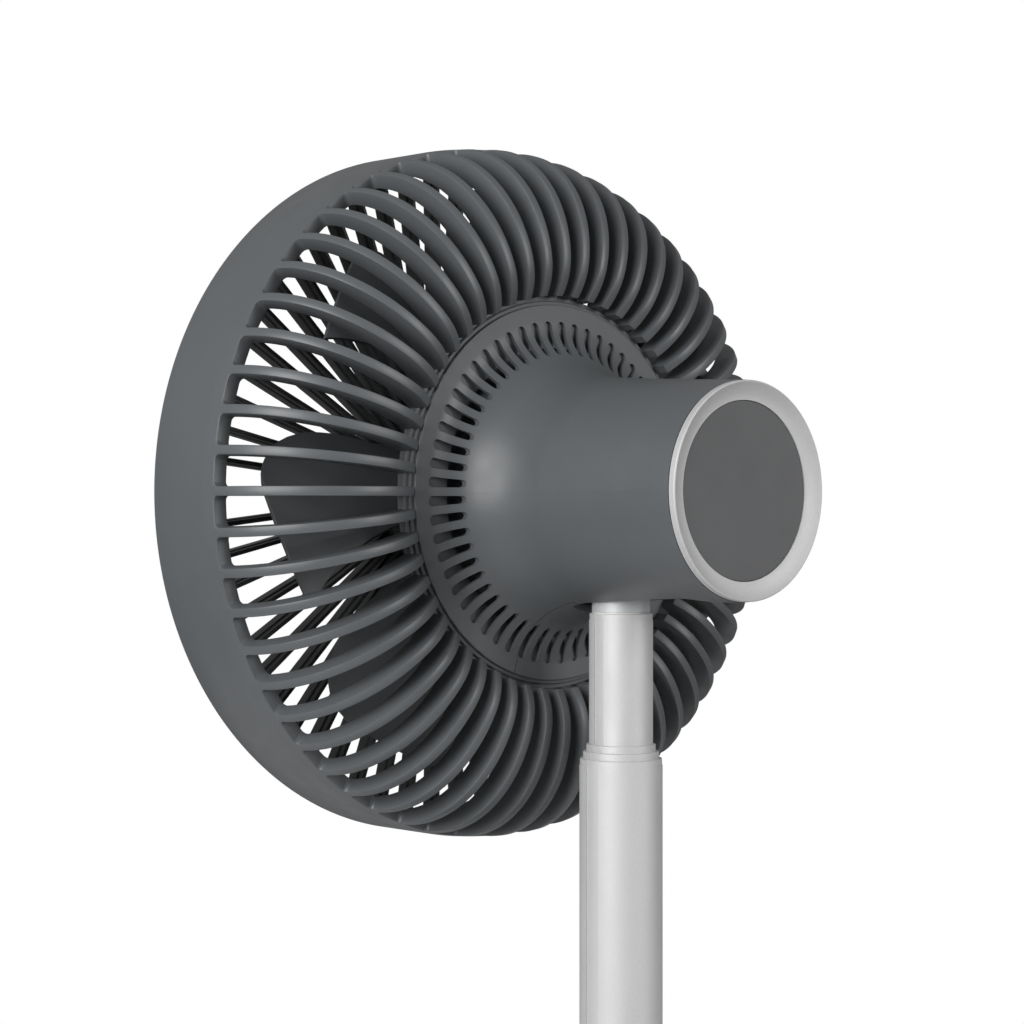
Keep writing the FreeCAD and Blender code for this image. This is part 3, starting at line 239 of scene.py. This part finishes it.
# ================================================================ rear grille
def lean_angle():
    """How far the band behind the crease, and the straight start of the fins, lean in."""
    across = CAGE_R - DOME_C[0]
    along = CREASE_Y - DOME_C[1]
    return math.atan2(along, across) + math.acos(DOME_R / math.hypot(across, along))


LEAN = lean_angle()


def outer_on_lean(y):
    """Point and outward normal of the leaning stretch, in the half section."""
    radius = CAGE_R - (y - CREASE_Y) * math.tan(LEAN)
    return (radius, y), (math.cos(LEAN), math.sin(LEAN))


def inner_at(y):
    """Point of the rib's inside and its direction into the material."""
    rise = max(0.0, y - INNER_C[1])
    radius = INNER_C[0] + math.sqrt(INNER_R ** 2 - rise ** 2)
    turn = math.asin(rise / INNER_R)
    return (radius, y), (math.cos(turn), math.sin(turn))


def on_circle(centre, radius, turn):
    """Point and outward normal of a circle, in the half section."""
    normal = (math.cos(turn), math.sin(turn))
    return (centre[0] + radius * normal[0], centre[1] + radius * normal[1]), normal


def between(start, end, share):
    return (start[0] + (end[0] - start[0]) * share, start[1] + (end[1] - start[1]) * share)


def outer_stations():
    """Even places on a fin's outer edge: the leaning stretch, the dome, and the curl to the ring."""
    start, lean_normal = outer_on_lean(FIN_FOOT_Y)
    dome_start = on_circle(DOME_C, DOME_R, LEAN)[0]
    straight = math.hypot(dome_start[0] - start[0], dome_start[1] - start[1])
    dome_length = DOME_R * (math.pi / 2 - LEAN)
    curl_c = (DOME_C[0], DOME_C[1] + DOME_R - CURL_R)
    curl_end = math.acos((FIN_END_R - curl_c[0]) / CURL_R)
    total = straight + dome_length + CURL_R * (curl_end - math.pi / 2)
    stations = []
    for k in range(FIN_STEPS + 1):
        along = total * k / FIN_STEPS
        if along < straight:
            stations.append((between(start, dome_start, along / straight), lean_normal))
        elif along < straight + dome_length:
            stations.append(on_circle(DOME_C, DOME_R, LEAN + (along - straight) / DOME_R))
        else:
            turn = math.pi / 2 + (along - straight - dome_length) / CURL_R
            stations.append(on_circle(curl_c, CURL_R, turn))
    return stations


def inner_stations():
    """Even places on a fin's inner edge: the arc inside the cage, and a straight run to the ring."""
    foot_turn = math.asin((FIN_FOOT_Y - INNER_C[1]) / INNER_R)
    arc_length = INNER_R * (math.pi / 2 - foot_turn)
    crown = (INNER_C[0], INNER_C[1] + INNER_R)
    end = (FIN_END_R, RING_FRONT_Y)
    run_length = math.hypot(end[0] - crown[0], end[1] - crown[1])
    run_normal = ((end[1] - crown[1]) / run_length, (crown[0] - end[0]) / run_length)
    stations = []
    for k in range(FIN_STEPS + 1):
        along = (arc_length + run_length) * k / FIN_STEPS
        if along < arc_length:
            stations.append(on_circle(INNER_C, INNER_R, foot_turn + along / INNER_R))
        else:
            share = (along - arc_length) / run_length
            stations.append((between(crown, end, share), run_normal))
    return stations


def on_fin(half_section, normal, side_distance, depth):
    """A fin point: a half-section place moved along its normal by depth, at this side distance."""
    radius = half_section[0] + normal[0] * depth
    y = half_section[1] + normal[1] * depth
    return on_head(radius, y, math.asin(side_distance / radius))


def edge_samples():
    """Half a slot's edge, from the middle of its end wall round the corner to a fin's foot.

    Each sample is (side distance, y, direction into the material, on the sector's border)."""
    corner_side = FIN_THICK / 2 + SLOT_CORNER
    border_side = CAGE_R * math.sin(PITCH / 2)
    samples = [
        (border_side, SLOT_END_Y, (0.0, -1.0), True),
        ((border_side + corner_side) / 2, SLOT_END_Y, (0.0, -1.0), False),
    ]
    for k in range(CORNER_STEPS + 1):
        turn = -math.pi / 2 * (1 + k / CORNER_STEPS)
        away = (math.cos(turn), math.sin(turn))
        side = corner_side + SLOT_CORNER * away[0]
        samples.append((side, FIN_FOOT_Y + SLOT_CORNER * away[1], away, False))
    return samples


def band_rows():
    """The band's half section from just before the slots, over the front rim, to the rib inside."""
    band_in = CAGE_R - BAND_WALL
    rib_r = INNER_C[0] + INNER_R
    soft = BAND_ROUND
    mid = BAND_ROUND * ARC_MID
    before_slot = SLOT_END_Y - BAND_END
    return [
        outer_on_lean(before_slot)[0],
        outer_on_lean(CREASE_Y + CREASE_SOFT)[0],
        (CAGE_R - CREASE_SOFT * math.tan(LEAN) / 4, CREASE_Y),
        (CAGE_R, CREASE_Y - CREASE_SOFT),
        (CAGE_R, (CREASE_Y + RIM_Y) / 2),
        (CAGE_R, RIM_Y + soft),
        (CAGE_R - mid, RIM_Y + mid),
        (CAGE_R - soft, RIM_Y),
        (band_in + soft, RIM_Y),
        (band_in + mid, RIM_Y + mid),
        (band_in, RIM_Y + soft),
        (band_in, RIB_FRONT_Y - soft),
        (band_in, RIB_FRONT_Y),
        (rib_r + soft, RIB_FRONT_Y),
        (rib_r + mid, RIB_FRONT_Y + mid),
        (rib_r, RIB_FRONT_Y + soft),
        (rib_r, INNER_C[1]),
        inner_at(before_slot)[0],
    ]


def edge_rounding():
    """(side offset, depth) of each point that rounds an edge, from the outer surface inwards."""
    shares = [(1.0, 0.0), (ARC_MID, ARC_MID), (0.0, 1.0)]
    return [(offset * EDGE_ROUND, depth * EDGE_ROUND) for offset, depth in shares]


def slot_column(sample, side):
    """Points down a slot's edge, from the cage's outside to its inside."""
    distance, y, away, border = sample
    rounding = edge_rounding()
    column = []
    for surface, order, inward in ((outer_on_lean, rounding, -1), (inner_at, rounding[::-1], 1)):
        for offset, depth in order:
            (radius, edge_y), normal = surface(y + away[1] * offset)
            radius += inward * normal[0] * depth
            edge_y += inward * normal[1] * depth
            turn = PITCH / 2 if border else math.asin((distance + away[0] * offset) / radius)
            column.append(on_head(radius, edge_y, side * turn))
    return column


def fin_column(outer_station, inner_station, side):
    """Points down a fin's side, from its outer edge to its inner one."""
    rounding = edge_rounding()
    column = []
    for offset, depth in rounding:
        column.append(on_fin(*outer_station, side * (FIN_THICK / 2 - offset), -depth))
    for offset, depth in rounding[::-1]:
        column.append(on_fin(*inner_station, side * (FIN_THICK / 2 - offset), depth))
    return column


def across_band(edges, foot, level):
    """The slots' edge points right across the sector, outside (level 0) or inside (level -1)."""
    left = [column[level] for column in edges[-1][:foot + 1]]
    right = [column[level] for column in edges[1][foot::-1]]
    return left + right


def add_band(shell, edges, samples):
    """The band, from the slots' outer edge round the rim and back to their inner edge."""
    turns = []
    for distance, _, away, border in samples:
        side_distance = distance + away[0] * EDGE_ROUND
        turns.append(PITCH / 2 if border else math.asin(side_distance / CAGE_R))
    turns = [-turn for turn in turns] + turns[::-1]
    foot = len(samples) - 1
    rows = [across_band(edges, foot, 0)]
    for radius, y in band_rows():
        rows.append(shell.add([on_head(radius, y, turn) for turn in turns]))
    rows.append(across_band(edges, foot, -1))
    for first, second in zip(rows, rows[1:]):
        shell.strip(first, second)


def grille_sector():
    """One fin with half a slot on each side, and its share of the band."""
    shell = Shell()
    samples = edge_samples()
    stations = list(zip(outer_stations(), inner_stations()))
    edges = {}
    for side in (-1, 1):
        columns = [shell.add(slot_column(sample, side)) for sample in samples]
        columns += [shell.add(fin_column(outer, inner, side)) for outer, inner in stations[1:]]
        for first, second in zip(columns, columns[1:]):
            shell.strip(first, second)
        edges[side] = columns
    foot = len(samples) - 1
    for level in (0, -1):
        left = [column[level] for column in edges[-1][foot:]]
        right = [column[level] for column in edges[1][foot:]]
        shell.strip(left, right)
    shell.face(edges[-1][-1] + edges[1][-1][::-1])
    add_band(shell, edges, samples)
    return shell


def inner_ring():
    """The ring with a raised lip that the fins run into."""
    soft = RING_ROUND
    return head_lathe([
        (RING_OUT_R, RING_FRONT_Y), (RING_OUT_R, RING_LIP_Y - soft), (RING_OUT_R - soft, RING_LIP_Y),
        (RING_LIP_R, RING_LIP_Y), (RING_LIP_R, RING_TOP_Y - soft), (RING_LIP_R - soft, RING_TOP_Y),
        (RING_IN_R, RING_TOP_Y), (RING_IN_R, RING_FRONT_Y),
    ])


def build_rear_grille(material):
    shell = grille_sector().turned_copies(FIN_COUNT)
    shell.include(inner_ring())
    obj = make_object("rear_grille_fins", shell, merge=True)
    place(obj, "head", "slate_plastic", material, "rear_grille")


# ================================================================ front grille
def bar_section():
    """Half-stepped section across a bar: (side distance, y)."""
    wide = BAR_THICK / 2
    thin = BAR_REAR_THICK / 2
    return [
        (-wide, BAR_FRONT_Y), (wide, BAR_FRONT_Y), (wide, BAR_STEP_Y),
        (thin, BAR_STEP_Y + wide - thin), (thin, BAR_REAR_Y), (-thin, BAR_REAR_Y),
        (-thin, BAR_STEP_Y + wide - thin), (-wide, BAR_STEP_Y),
    ]


def front_bar():
    shell = Shell()
    ends = []
    for radius in (HUB_RING_R - BAR_SINK, FRONT_RIM_IN_R + BAR_SINK):
        ends.append(shell.add([(radius, y, AXIS_Z + side) for side, y in bar_section()]))
    shell.strip(ends[0], ends[1], closed=True)
    shell.face(ends[0])
    shell.face(ends[1])
    return shell


def build_front_grille(material):
    shell = front_bar().turned_copies(FIN_COUNT)
    shell.include(head_lathe([
        (FRONT_RIM_R, BAR_FRONT_Y), (FRONT_RIM_R, BAR_REAR_Y),
        (FRONT_RIM_IN_R, BAR_REAR_Y), (FRONT_RIM_IN_R, BAR_FRONT_Y),
    ]))
    floor_y = BAR_REAR_Y - HUB_FLOOR
    shell.include(head_lathe([
        (HUB_RING_R, BAR_FRONT_Y), (HUB_RING_R, BAR_REAR_Y),
        (HUB_CENTRE_R, BAR_REAR_Y), (HUB_CENTRE_R, floor_y),
        (HUB_RING_IN_R, floor_y), (HUB_RING_IN_R, BAR_FRONT_Y),
    ]))
    obj = make_object("front_grille_bars", shell)
    round_edges(obj, BAR_ROUND)
    place(obj, "head", "dark_plastic", material, "front_grille")


# ================================================================ impeller
def blade_front_deg(radius):
    """Angle of a blade's front edge, which sweeps round to the tip like a quarter ellipse."""
    if radius < BLADE_TURN_R:
        share = (BLADE_TURN_R - radius) / (BLADE_TURN_R - BLADE_ROOT_R)
        return FRONT_TURN_DEG + (FRONT_ROOT_DEG - FRONT_TURN_DEG) * share
    reach = min(1.0, (radius - BLADE_TURN_R) / (TIP_R - BLADE_TURN_R))
    return FRONT_TURN_DEG * math.sqrt(1 - reach ** 2)


def blade_rear_deg(radius):
    share = max(0.0, radius - BLADE_ROOT_R) / (TIP_R - BLADE_ROOT_R)
    return REAR_ROOT_DEG - REAR_SWEEP_DEG * share ** REAR_POWER


def blade_plane_deg(radius):
    """Angle at which the blade's surface would reach BLADE_FRONT_Y."""
    share = (radius - BLADE_ROOT_R) / (TIP_R - BLADE_ROOT_R)
    return FRONT_ROOT_DEG - PLANE_SWEEP_DEG * share ** PLANE_POWER


def blade_mid_point(radius, share):
    """A point of the blade's middle surface; share runs from the front to the rear edge."""
    front, rear = blade_front_deg(radius), blade_rear_deg(radius)
    degrees = front + (rear - front) * share
    plane = blade_plane_deg(radius)
    along = (plane - degrees) / (plane - rear)
    y = BLADE_FRONT_Y + (BLADE_REAR_Y - BLADE_FRONT_Y) * along
    y += BLADE_BULGE * 4 * along * (1 - along)
    return Vector(on_head(radius, y, math.radians(degrees)))


def blade_grid():
    """Rows of middle-surface points, from the root to the tip; the rows crowd towards the tip."""
    to_turn = BLADE_TURN_R - BLADE_ROOT_R
    to_tip = TIP_R - BLADE_TURN_R
    radii = [BLADE_ROOT_R + to_turn * k / ROOT_STEPS for k in range(ROOT_STEPS)]
    for k in range(BLADE_STEPS + 1):
        radii.append(BLADE_TURN_R + to_tip * math.sin(math.pi / 2 * k / BLADE_STEPS))
    shares = [k / BLADE_STEPS for k in range(BLADE_STEPS + 1)]
    return [[blade_mid_point(radius, share) for share in shares] for radius in radii]


def rim_of(rows):
    """The points round the border of a grid of rows."""
    last_sides = [row[-1] for row in rows[1:]]
    first_sides = [row[0] for row in rows[-2:0:-1]]
    return rows[0] + last_sides + rows[-1][-2::-1] + first_sides


def blade():
    """A thin curved plate with a closed rim."""
    grid = blade_grid()
    shell = Shell()
    rims = []
    for side in (-1, 1):
        rows = []
        for i, row in enumerate(grid):
            points = []
            for j, point in enumerate(row):
                across = row[min(j + 1, len(row) - 1)] - row[max(j - 1, 0)]
                outward = grid[min(i + 1, len(grid) - 1)][j] - grid[max(i - 1, 0)][j]
                normal = outward.cross(across).normalized()
                points.append(tuple(point + normal * (side * BLADE_THICK / 2)))
            rows.append(shell.add(points))
        for first, second in zip(rows, rows[1:]):
            shell.strip(first, second)
        rims.append(rim_of(rows))
    shell.strip(rims[0], rims[1], closed=True)
    return shell


def hub_rib():
    """A stiffening web inside the hub."""
    half = HUB_RIB_THICK / 2
    foot_y = HUB_FRONT_Y + HUB_WALL / 2
    wall_r = HUB_R - HUB_WALL / 2
    shell = Shell()
    rows = []
    for side in (-half, half):
        rows.append(shell.add([
            (BOSS_R - half, foot_y, AXIS_Z + side),
            (wall_r, foot_y, AXIS_Z + side),
            (wall_r, HUB_REAR_Y - HUB_RIB_WALL_DROP, AXIS_Z + side),
            (BOSS_R - half, HUB_REAR_Y - HUB_RIB_BOSS_DROP, AXIS_Z + side),
        ]))
    shell.strip(rows[0], rows[1], closed=True)
    shell.face(rows[0])
    shell.face(rows[1])
    return shell


def hub_cup():
    """The hub: a cup with a rounded front corner and a boss for the shaft."""
    nose_r = HUB_R - HUB_NOSE_R
    nose_y = HUB_FRONT_Y + HUB_NOSE_R
    wall_in = HUB_R - HUB_WALL
    floor_y = HUB_FRONT_Y + HUB_WALL
    outline = [(SHAFT_R, HUB_FRONT_Y), (nose_r, HUB_FRONT_Y)]
    for k in range(1, HUB_NOSE_STEPS):
        turn = -math.pi / 2 * (1 - k / HUB_NOSE_STEPS)
        outline.append((nose_r + HUB_NOSE_R * math.cos(turn), nose_y + HUB_NOSE_R * math.sin(turn)))
    outline += [
        (HUB_R, nose_y), (HUB_R, HUB_REAR_Y), (wall_in, HUB_REAR_Y), (wall_in, nose_y),
        (nose_r, floor_y), (BOSS_R, floor_y), (BOSS_R, HUB_REAR_Y), (SHAFT_R, HUB_REAR_Y),
    ]
    return head_lathe(outline, HUB_STEPS)


def build_impeller(material):
    shell = blade().turned_copies(BLADE_COUNT)
    shell.include(hub_cup())
    shell.include(hub_rib().turned_copies(HUB_RIBS))
    obj = make_object("impeller_wheel", shell)
    round_edges(obj, BLADE_ROUND, angle_deg=BLADE_EDGE_DEG)
    place(obj, "fan", "dark_plastic", material, "impeller")


# ================================================================ materials
# Noise scales count features per metre, near enough, and relief depths are in metres.
NOISE_RANGE = (0.3, 0.7)        # where most of a noise's values lie
DRIFT_SCALE = 28.0              # slow drifts of shade over a moulding
GLOSS_SCALE = 90.0              # patches of more and less gloss on plastic
GRAIN_DEPTH = 0.0001
METALLIC_COAT = 0.3             # an anodised coat is only partly metallic
PIT_SHADES = (0.86, 1.10)       # a blasted surface's darkest and lightest share of its colour
PIT_ROUGHNESS = (0.50, 0.60)
PIT_GLOSS_SCALE = 60.0
PIT_DEPTH = 0.00008
BRUSH_SCALE = 420.0
BRUSH_STRETCH = (1.0, 1.0, 14.0)
BRUSH_SHADES = (0.9, 1.08)
BRUSH_DEPTH = 0.00005
WEAVE_SCALE = 900.0
MASK_GLOSS_SCALE = 120.0


def new_material(name):
    material = bpy.data.materials.new(name)
    material.use_nodes = True
    nodes = material.node_tree.nodes
    return material, nodes, material.node_tree.links, nodes["Principled BSDF"]


def shades(colour, spread):
    """The colour's darker and lighter shade, as shares of it."""
    low, high = spread
    return tuple(part * low for part in colour), tuple(part * high for part in colour)


def noise(nodes, links, place_from, scale, detail=3.0, roughness=0.5):
    texture = nodes.new("ShaderNodeTexNoise")
    texture.inputs["Scale"].default_value = scale
    texture.inputs["Detail"].default_value = detail
    texture.inputs["Roughness"].default_value = roughness
    links.new(place_from, texture.inputs["Vector"])
    return texture.outputs["Fac"]


def ramp_between(nodes, links, factor, low, high):
    """A colour that wanders between two near shades."""
    mix = nodes.new("ShaderNodeMix")
    mix.data_type = "RGBA"
    mix.inputs["A"].default_value = (*low, 1.0)
    mix.inputs["B"].default_value = (*high, 1.0)
    links.new(factor, mix.inputs["Factor"])
    return mix.outputs["Result"]


def map_range(nodes, links, factor, low, high):
    scale = nodes.new("ShaderNodeMapRange")
    scale.inputs["From Min"].default_value = NOISE_RANGE[0]
    scale.inputs["From Max"].default_value = NOISE_RANGE[1]
    scale.inputs["To Min"].default_value = low
    scale.inputs["To Max"].default_value = high
    links.new(factor, scale.inputs["Value"])
    return scale.outputs["Result"]


def bump(nodes, links, shader, height, strength, distance):
    relief = nodes.new("ShaderNodeBump")
    relief.inputs["Strength"].default_value = strength
    relief.inputs["Distance"].default_value = distance
    links.new(height, relief.inputs["Height"])
    links.new(relief.outputs["Normal"], shader.inputs["Normal"])


def moulded_plastic(name, colour, spread=0.08, roughness=(0.36, 0.46), grain=2600.0, strength=0.12):
    """Satin moulded plastic: a fine spark-eroded grain and slow drifts of shade and gloss."""
    material, nodes, links, shader = new_material(name)
    where = nodes.new("ShaderNodeTexCoord").outputs["Object"]
    drift = noise(nodes, links, where, DRIFT_SCALE)
    grain_height = noise(nodes, links, where, grain, detail=2.0)
    low, high = shades(colour, (1 - spread, 1 + spread))
    links.new(ramp_between(nodes, links, drift, low, high), shader.inputs["Base Color"])
    gloss = noise(nodes, links, where, GLOSS_SCALE)
    links.new(map_range(nodes, links, gloss, *roughness), shader.inputs["Roughness"])
    bump(nodes, links, shader, grain_height, strength, GRAIN_DEPTH)
    return material


def blasted_aluminium(name, colour, grain=2000.0, strength=0.9):
    """Bead-blasted, anodised aluminium: a visible sparkle of fine pits."""
    material, nodes, links, shader = new_material(name)
    shader.inputs["Metallic"].default_value = METALLIC_COAT
    where = nodes.new("ShaderNodeTexCoord").outputs["Object"]
    pits = noise(nodes, links, where, grain, detail=4.0, roughness=0.65)
    low, high = shades(colour, PIT_SHADES)
    links.new(ramp_between(nodes, links, pits, low, high), shader.inputs["Base Color"])
    gloss = noise(nodes, links, where, PIT_GLOSS_SCALE)
    links.new(map_range(nodes, links, gloss, *PIT_ROUGHNESS), shader.inputs["Roughness"])
    bump(nodes, links, shader, pits, strength, PIT_DEPTH)
    return material


def machined_steel(name, colour=(0.50, 0.50, 0.51), roughness=(0.28, 0.40)):
    """Turned or drawn metal, with fine level lines."""
    material, nodes, links, shader = new_material(name)
    shader.inputs["Metallic"].default_value = 1.0
    where = nodes.new("ShaderNodeTexCoord").outputs["Object"]
    stretch = nodes.new("ShaderNodeMapping")
    stretch.inputs["Scale"].default_value = BRUSH_STRETCH
    links.new(where, stretch.inputs["Vector"])
    lines = noise(nodes, links, stretch.outputs["Vector"], BRUSH_SCALE, detail=3.0)
    low, high = shades(colour, BRUSH_SHADES)
    links.new(ramp_between(nodes, links, lines, low, high), shader.inputs["Base Color"])
    links.new(map_range(nodes, links, lines, *roughness), shader.inputs["Roughness"])
    bump(nodes, links, shader, lines, strength=0.1, distance=BRUSH_DEPTH)
    return material


def board_material():
    """Green solder mask over a faint weave."""
    material, nodes, links, shader = new_material("solder_mask")
    where = nodes.new("ShaderNodeTexCoord").outputs["Object"]
    weave = nodes.new("ShaderNodeTexChecker")
    weave.inputs["Scale"].default_value = WEAVE_SCALE
    weave.inputs["Color1"].default_value = (0.012, 0.11, 0.05, 1.0)
    weave.inputs["Color2"].default_value = (0.016, 0.14, 0.06, 1.0)
    links.new(where, weave.inputs["Vector"])
    links.new(weave.outputs["Color"], shader.inputs["Base Color"])
    gloss = noise(nodes, links, where, MASK_GLOSS_SCALE)
    links.new(map_range(nodes, links, gloss, 0.25, 0.35), shader.inputs["Roughness"])
    return material


SLATE = (0.094, 0.101, 0.107)
CHARCOAL = (0.062, 0.065, 0.068)
CAP_GREY = (0.098, 0.100, 0.103)
TRIM_SILVER = (0.55, 0.55, 0.55)
POLE_SILVER = (0.54, 0.54, 0.54)
NECK_GREY = (0.52, 0.53, 0.54)
CAN_STEEL = (0.42, 0.42, 0.43)
COPPER = (0.60, 0.27, 0.14)
FERRITE = (0.10, 0.10, 0.11)
ACETAL = (0.70, 0.70, 0.68)
WRAP_BLUE = (0.04, 0.16, 0.36)
RUBBER_BLACK = (0.022, 0.022, 0.023)
IRON = (0.09, 0.09, 0.09)
BUTTON_GREY = (0.26, 0.27, 0.28)
PAPER = (0.72, 0.72, 0.72)


def foot_rubber():
    return moulded_plastic("foot_rubber", RUBBER_BLACK, roughness=(0.65, 0.8), grain=1200.0)


def cast_iron():
    return moulded_plastic("cast_iron", IRON, roughness=(0.6, 0.75), grain=700.0, strength=0.5)


# One material for each slot of the record
MATERIALS = {
    "slate_plastic": moulded_plastic("slate_plastic", SLATE),
    "dark_plastic": moulded_plastic("dark_plastic", CHARCOAL),
    "cap_plastic": moulded_plastic("cap_plastic", CAP_GREY, roughness=(0.5, 0.6)),
    "silver_trim": blasted_aluminium("silver_trim", TRIM_SILVER),
    "pole_silver": blasted_aluminium("pole_silver", POLE_SILVER),
    "neck_grey": blasted_aluminium("neck_grey", NECK_GREY, grain=2400.0, strength=0.2),
    "steel": machined_steel("zinc_steel"),
    "motor_metal": machined_steel("motor_can_steel", CAN_STEEL, roughness=(0.3, 0.45)),
    "copper_core": machined_steel("copper_windings", COPPER, roughness=(0.3, 0.4)),
    "magnet": machined_steel("magnet_ring", FERRITE, roughness=(0.35, 0.5)),
    "white_plastic": moulded_plastic("white_acetal", ACETAL, roughness=(0.3, 0.4)),
    "board_green": board_material(),
    "cell_wrap": moulded_plastic("cell_wrap", WRAP_BLUE, roughness=(0.22, 0.32), strength=0.04),
    "rubber": foot_rubber(),
    "cast_weight": cast_iron(),
    "button_plastic": moulded_plastic("button_plastic", BUTTON_GREY, roughness=(0.35, 0.45)),
}


def paint_cad_nodes():
    """Every CAD node that stays takes the material of its own slot."""
    for part in frame["record"]["subparts"]:
        node = frame["nodes"][part["node"]]
        node.data.materials.clear()
        node.data.materials.append(MATERIALS[part["material_slot"]])


# ================================================================ studio
# Lights and the camera are placed in metres from the point where the fan axis passes over the pole.
VIEW_AZIMUTH = math.radians(137.2)
RIGHT = Vector((math.cos(VIEW_AZIMUTH), math.sin(VIEW_AZIMUTH), 0.0))
BACK = Vector((math.sin(VIEW_AZIMUTH), -math.cos(VIEW_AZIMUTH), 0.0))
UP = Vector((0.0, 0.0, 1.0))
AXIS_POINT = Vector((0.0, 0.0, AXIS_Z * MM))
LENS = 85.0
SENSOR = 36.0
CAMERA_BACK = 0.8463
CAMERA_LEFT = 0.03815
CAMERA_DROP = 0.0070
FLOOR_R = 620.0
FLOOR_Z = -0.3                  # just under the base's rubber pad
FLOOR_SIDES = 96
FADE_LOW = -0.5                 # the ambient light fades between these heights of its direction
FADE_HIGH = 0.3


def build_camera():
    data = bpy.data.cameras.new("view")
    data.lens = LENS
    data.sensor_width = SENSOR
    camera = bpy.data.objects.new("view", data)
    bpy.context.scene.collection.objects.link(camera)
    camera.location = AXIS_POINT + BACK * CAMERA_BACK - RIGHT * CAMERA_LEFT - UP * CAMERA_DROP
    camera.rotation_euler = BACK.to_track_quat("Z", "Y").to_euler()
    bpy.context.scene.camera = camera


def soft_light(name, left_deg, rise_deg, distance, size, power):
    """A square softbox aimed at the head, turned left of the view and raised above it."""
    data = bpy.data.lights.new(name, "AREA")
    data.shape = "SQUARE"
    data.size = size
    data.energy = power
    light = bpy.data.objects.new(name, data)
    bpy.context.scene.collection.objects.link(light)
    left, rise = math.radians(left_deg), math.radians(rise_deg)
    away = (BACK * math.cos(left) - RIGHT * math.sin(left)) * math.cos(rise) + UP * math.sin(rise)
    light.location = AXIS_POINT + away * distance
    light.rotation_euler = away.to_track_quat("Z", "Y").to_euler()


def build_floor():
    shell = Shell()
    ring = []
    for k in range(FLOOR_SIDES):
        turn = 2 * math.pi * k / FLOOR_SIDES
        ring.append((FLOOR_R * math.cos(turn), FLOOR_R * math.sin(turn), FLOOR_Z))
    shell.face(shell.add(ring))
    floor = make_object("floor", shell)
    paper = moulded_plastic(
        "floor_paper", PAPER, spread=0.01, roughness=(0.8, 0.9), grain=300.0, strength=0.02)
    floor.data.materials.append(paper)


def build_world(above, below):
    """Plain white behind the object, and an ambient light that fades from above to below."""
    world = bpy.data.worlds.new("studio")
    world.use_nodes = True
    nodes, links = world.node_tree.nodes, world.node_tree.links
    nodes.clear()
    seen = nodes.new("ShaderNodeBackground")
    light = nodes.new("ShaderNodeBackground")
    where = nodes.new("ShaderNodeTexCoord")
    split = nodes.new("ShaderNodeSeparateXYZ")
    fade = nodes.new("ShaderNodeMapRange")
    fade.inputs["From Min"].default_value = FADE_LOW
    fade.inputs["From Max"].default_value = FADE_HIGH
    fade.inputs["To Min"].default_value = below
    fade.inputs["To Max"].default_value = above
    links.new(where.outputs["Generated"], split.inputs["Vector"])
    links.new(split.outputs["Z"], fade.inputs["Value"])
    links.new(fade.outputs["Result"], light.inputs["Strength"])
    for background in (seen, light):
        background.inputs["Color"].default_value = (1.0, 1.0, 1.0, 1.0)
    path = nodes.new("ShaderNodeLightPath")
    mix = nodes.new("ShaderNodeMixShader")
    output = nodes.new("ShaderNodeOutputWorld")
    links.new(path.outputs["Is Camera Ray"], mix.inputs["Fac"])
    links.new(light.outputs["Background"], mix.inputs[1])
    links.new(seen.outputs["Background"], mix.inputs[2])
    links.new(mix.outputs["Shader"], output.inputs["Surface"])
    bpy.context.scene.world = world


def build_studio():
    build_world(above=0.27, below=0.02)
    soft_light("key", left_deg=36.0, rise_deg=14.0, distance=2.2, size=1.5, power=56.0)
    soft_light("fill", left_deg=-65.0, rise_deg=12.0, distance=2.0, size=1.0, power=17.0)
    build_floor()
    bpy.context.scene.view_settings.view_transform = "Standard"


# ================================================================ put it together
build_camera()
build_studio()
paint_cad_nodes()
build_rear_grille(MATERIALS["slate_plastic"])
build_front_grille(MATERIALS["dark_plastic"])
build_impeller(MATERIALS["dark_plastic"])

bpy.context.view_layer.update()
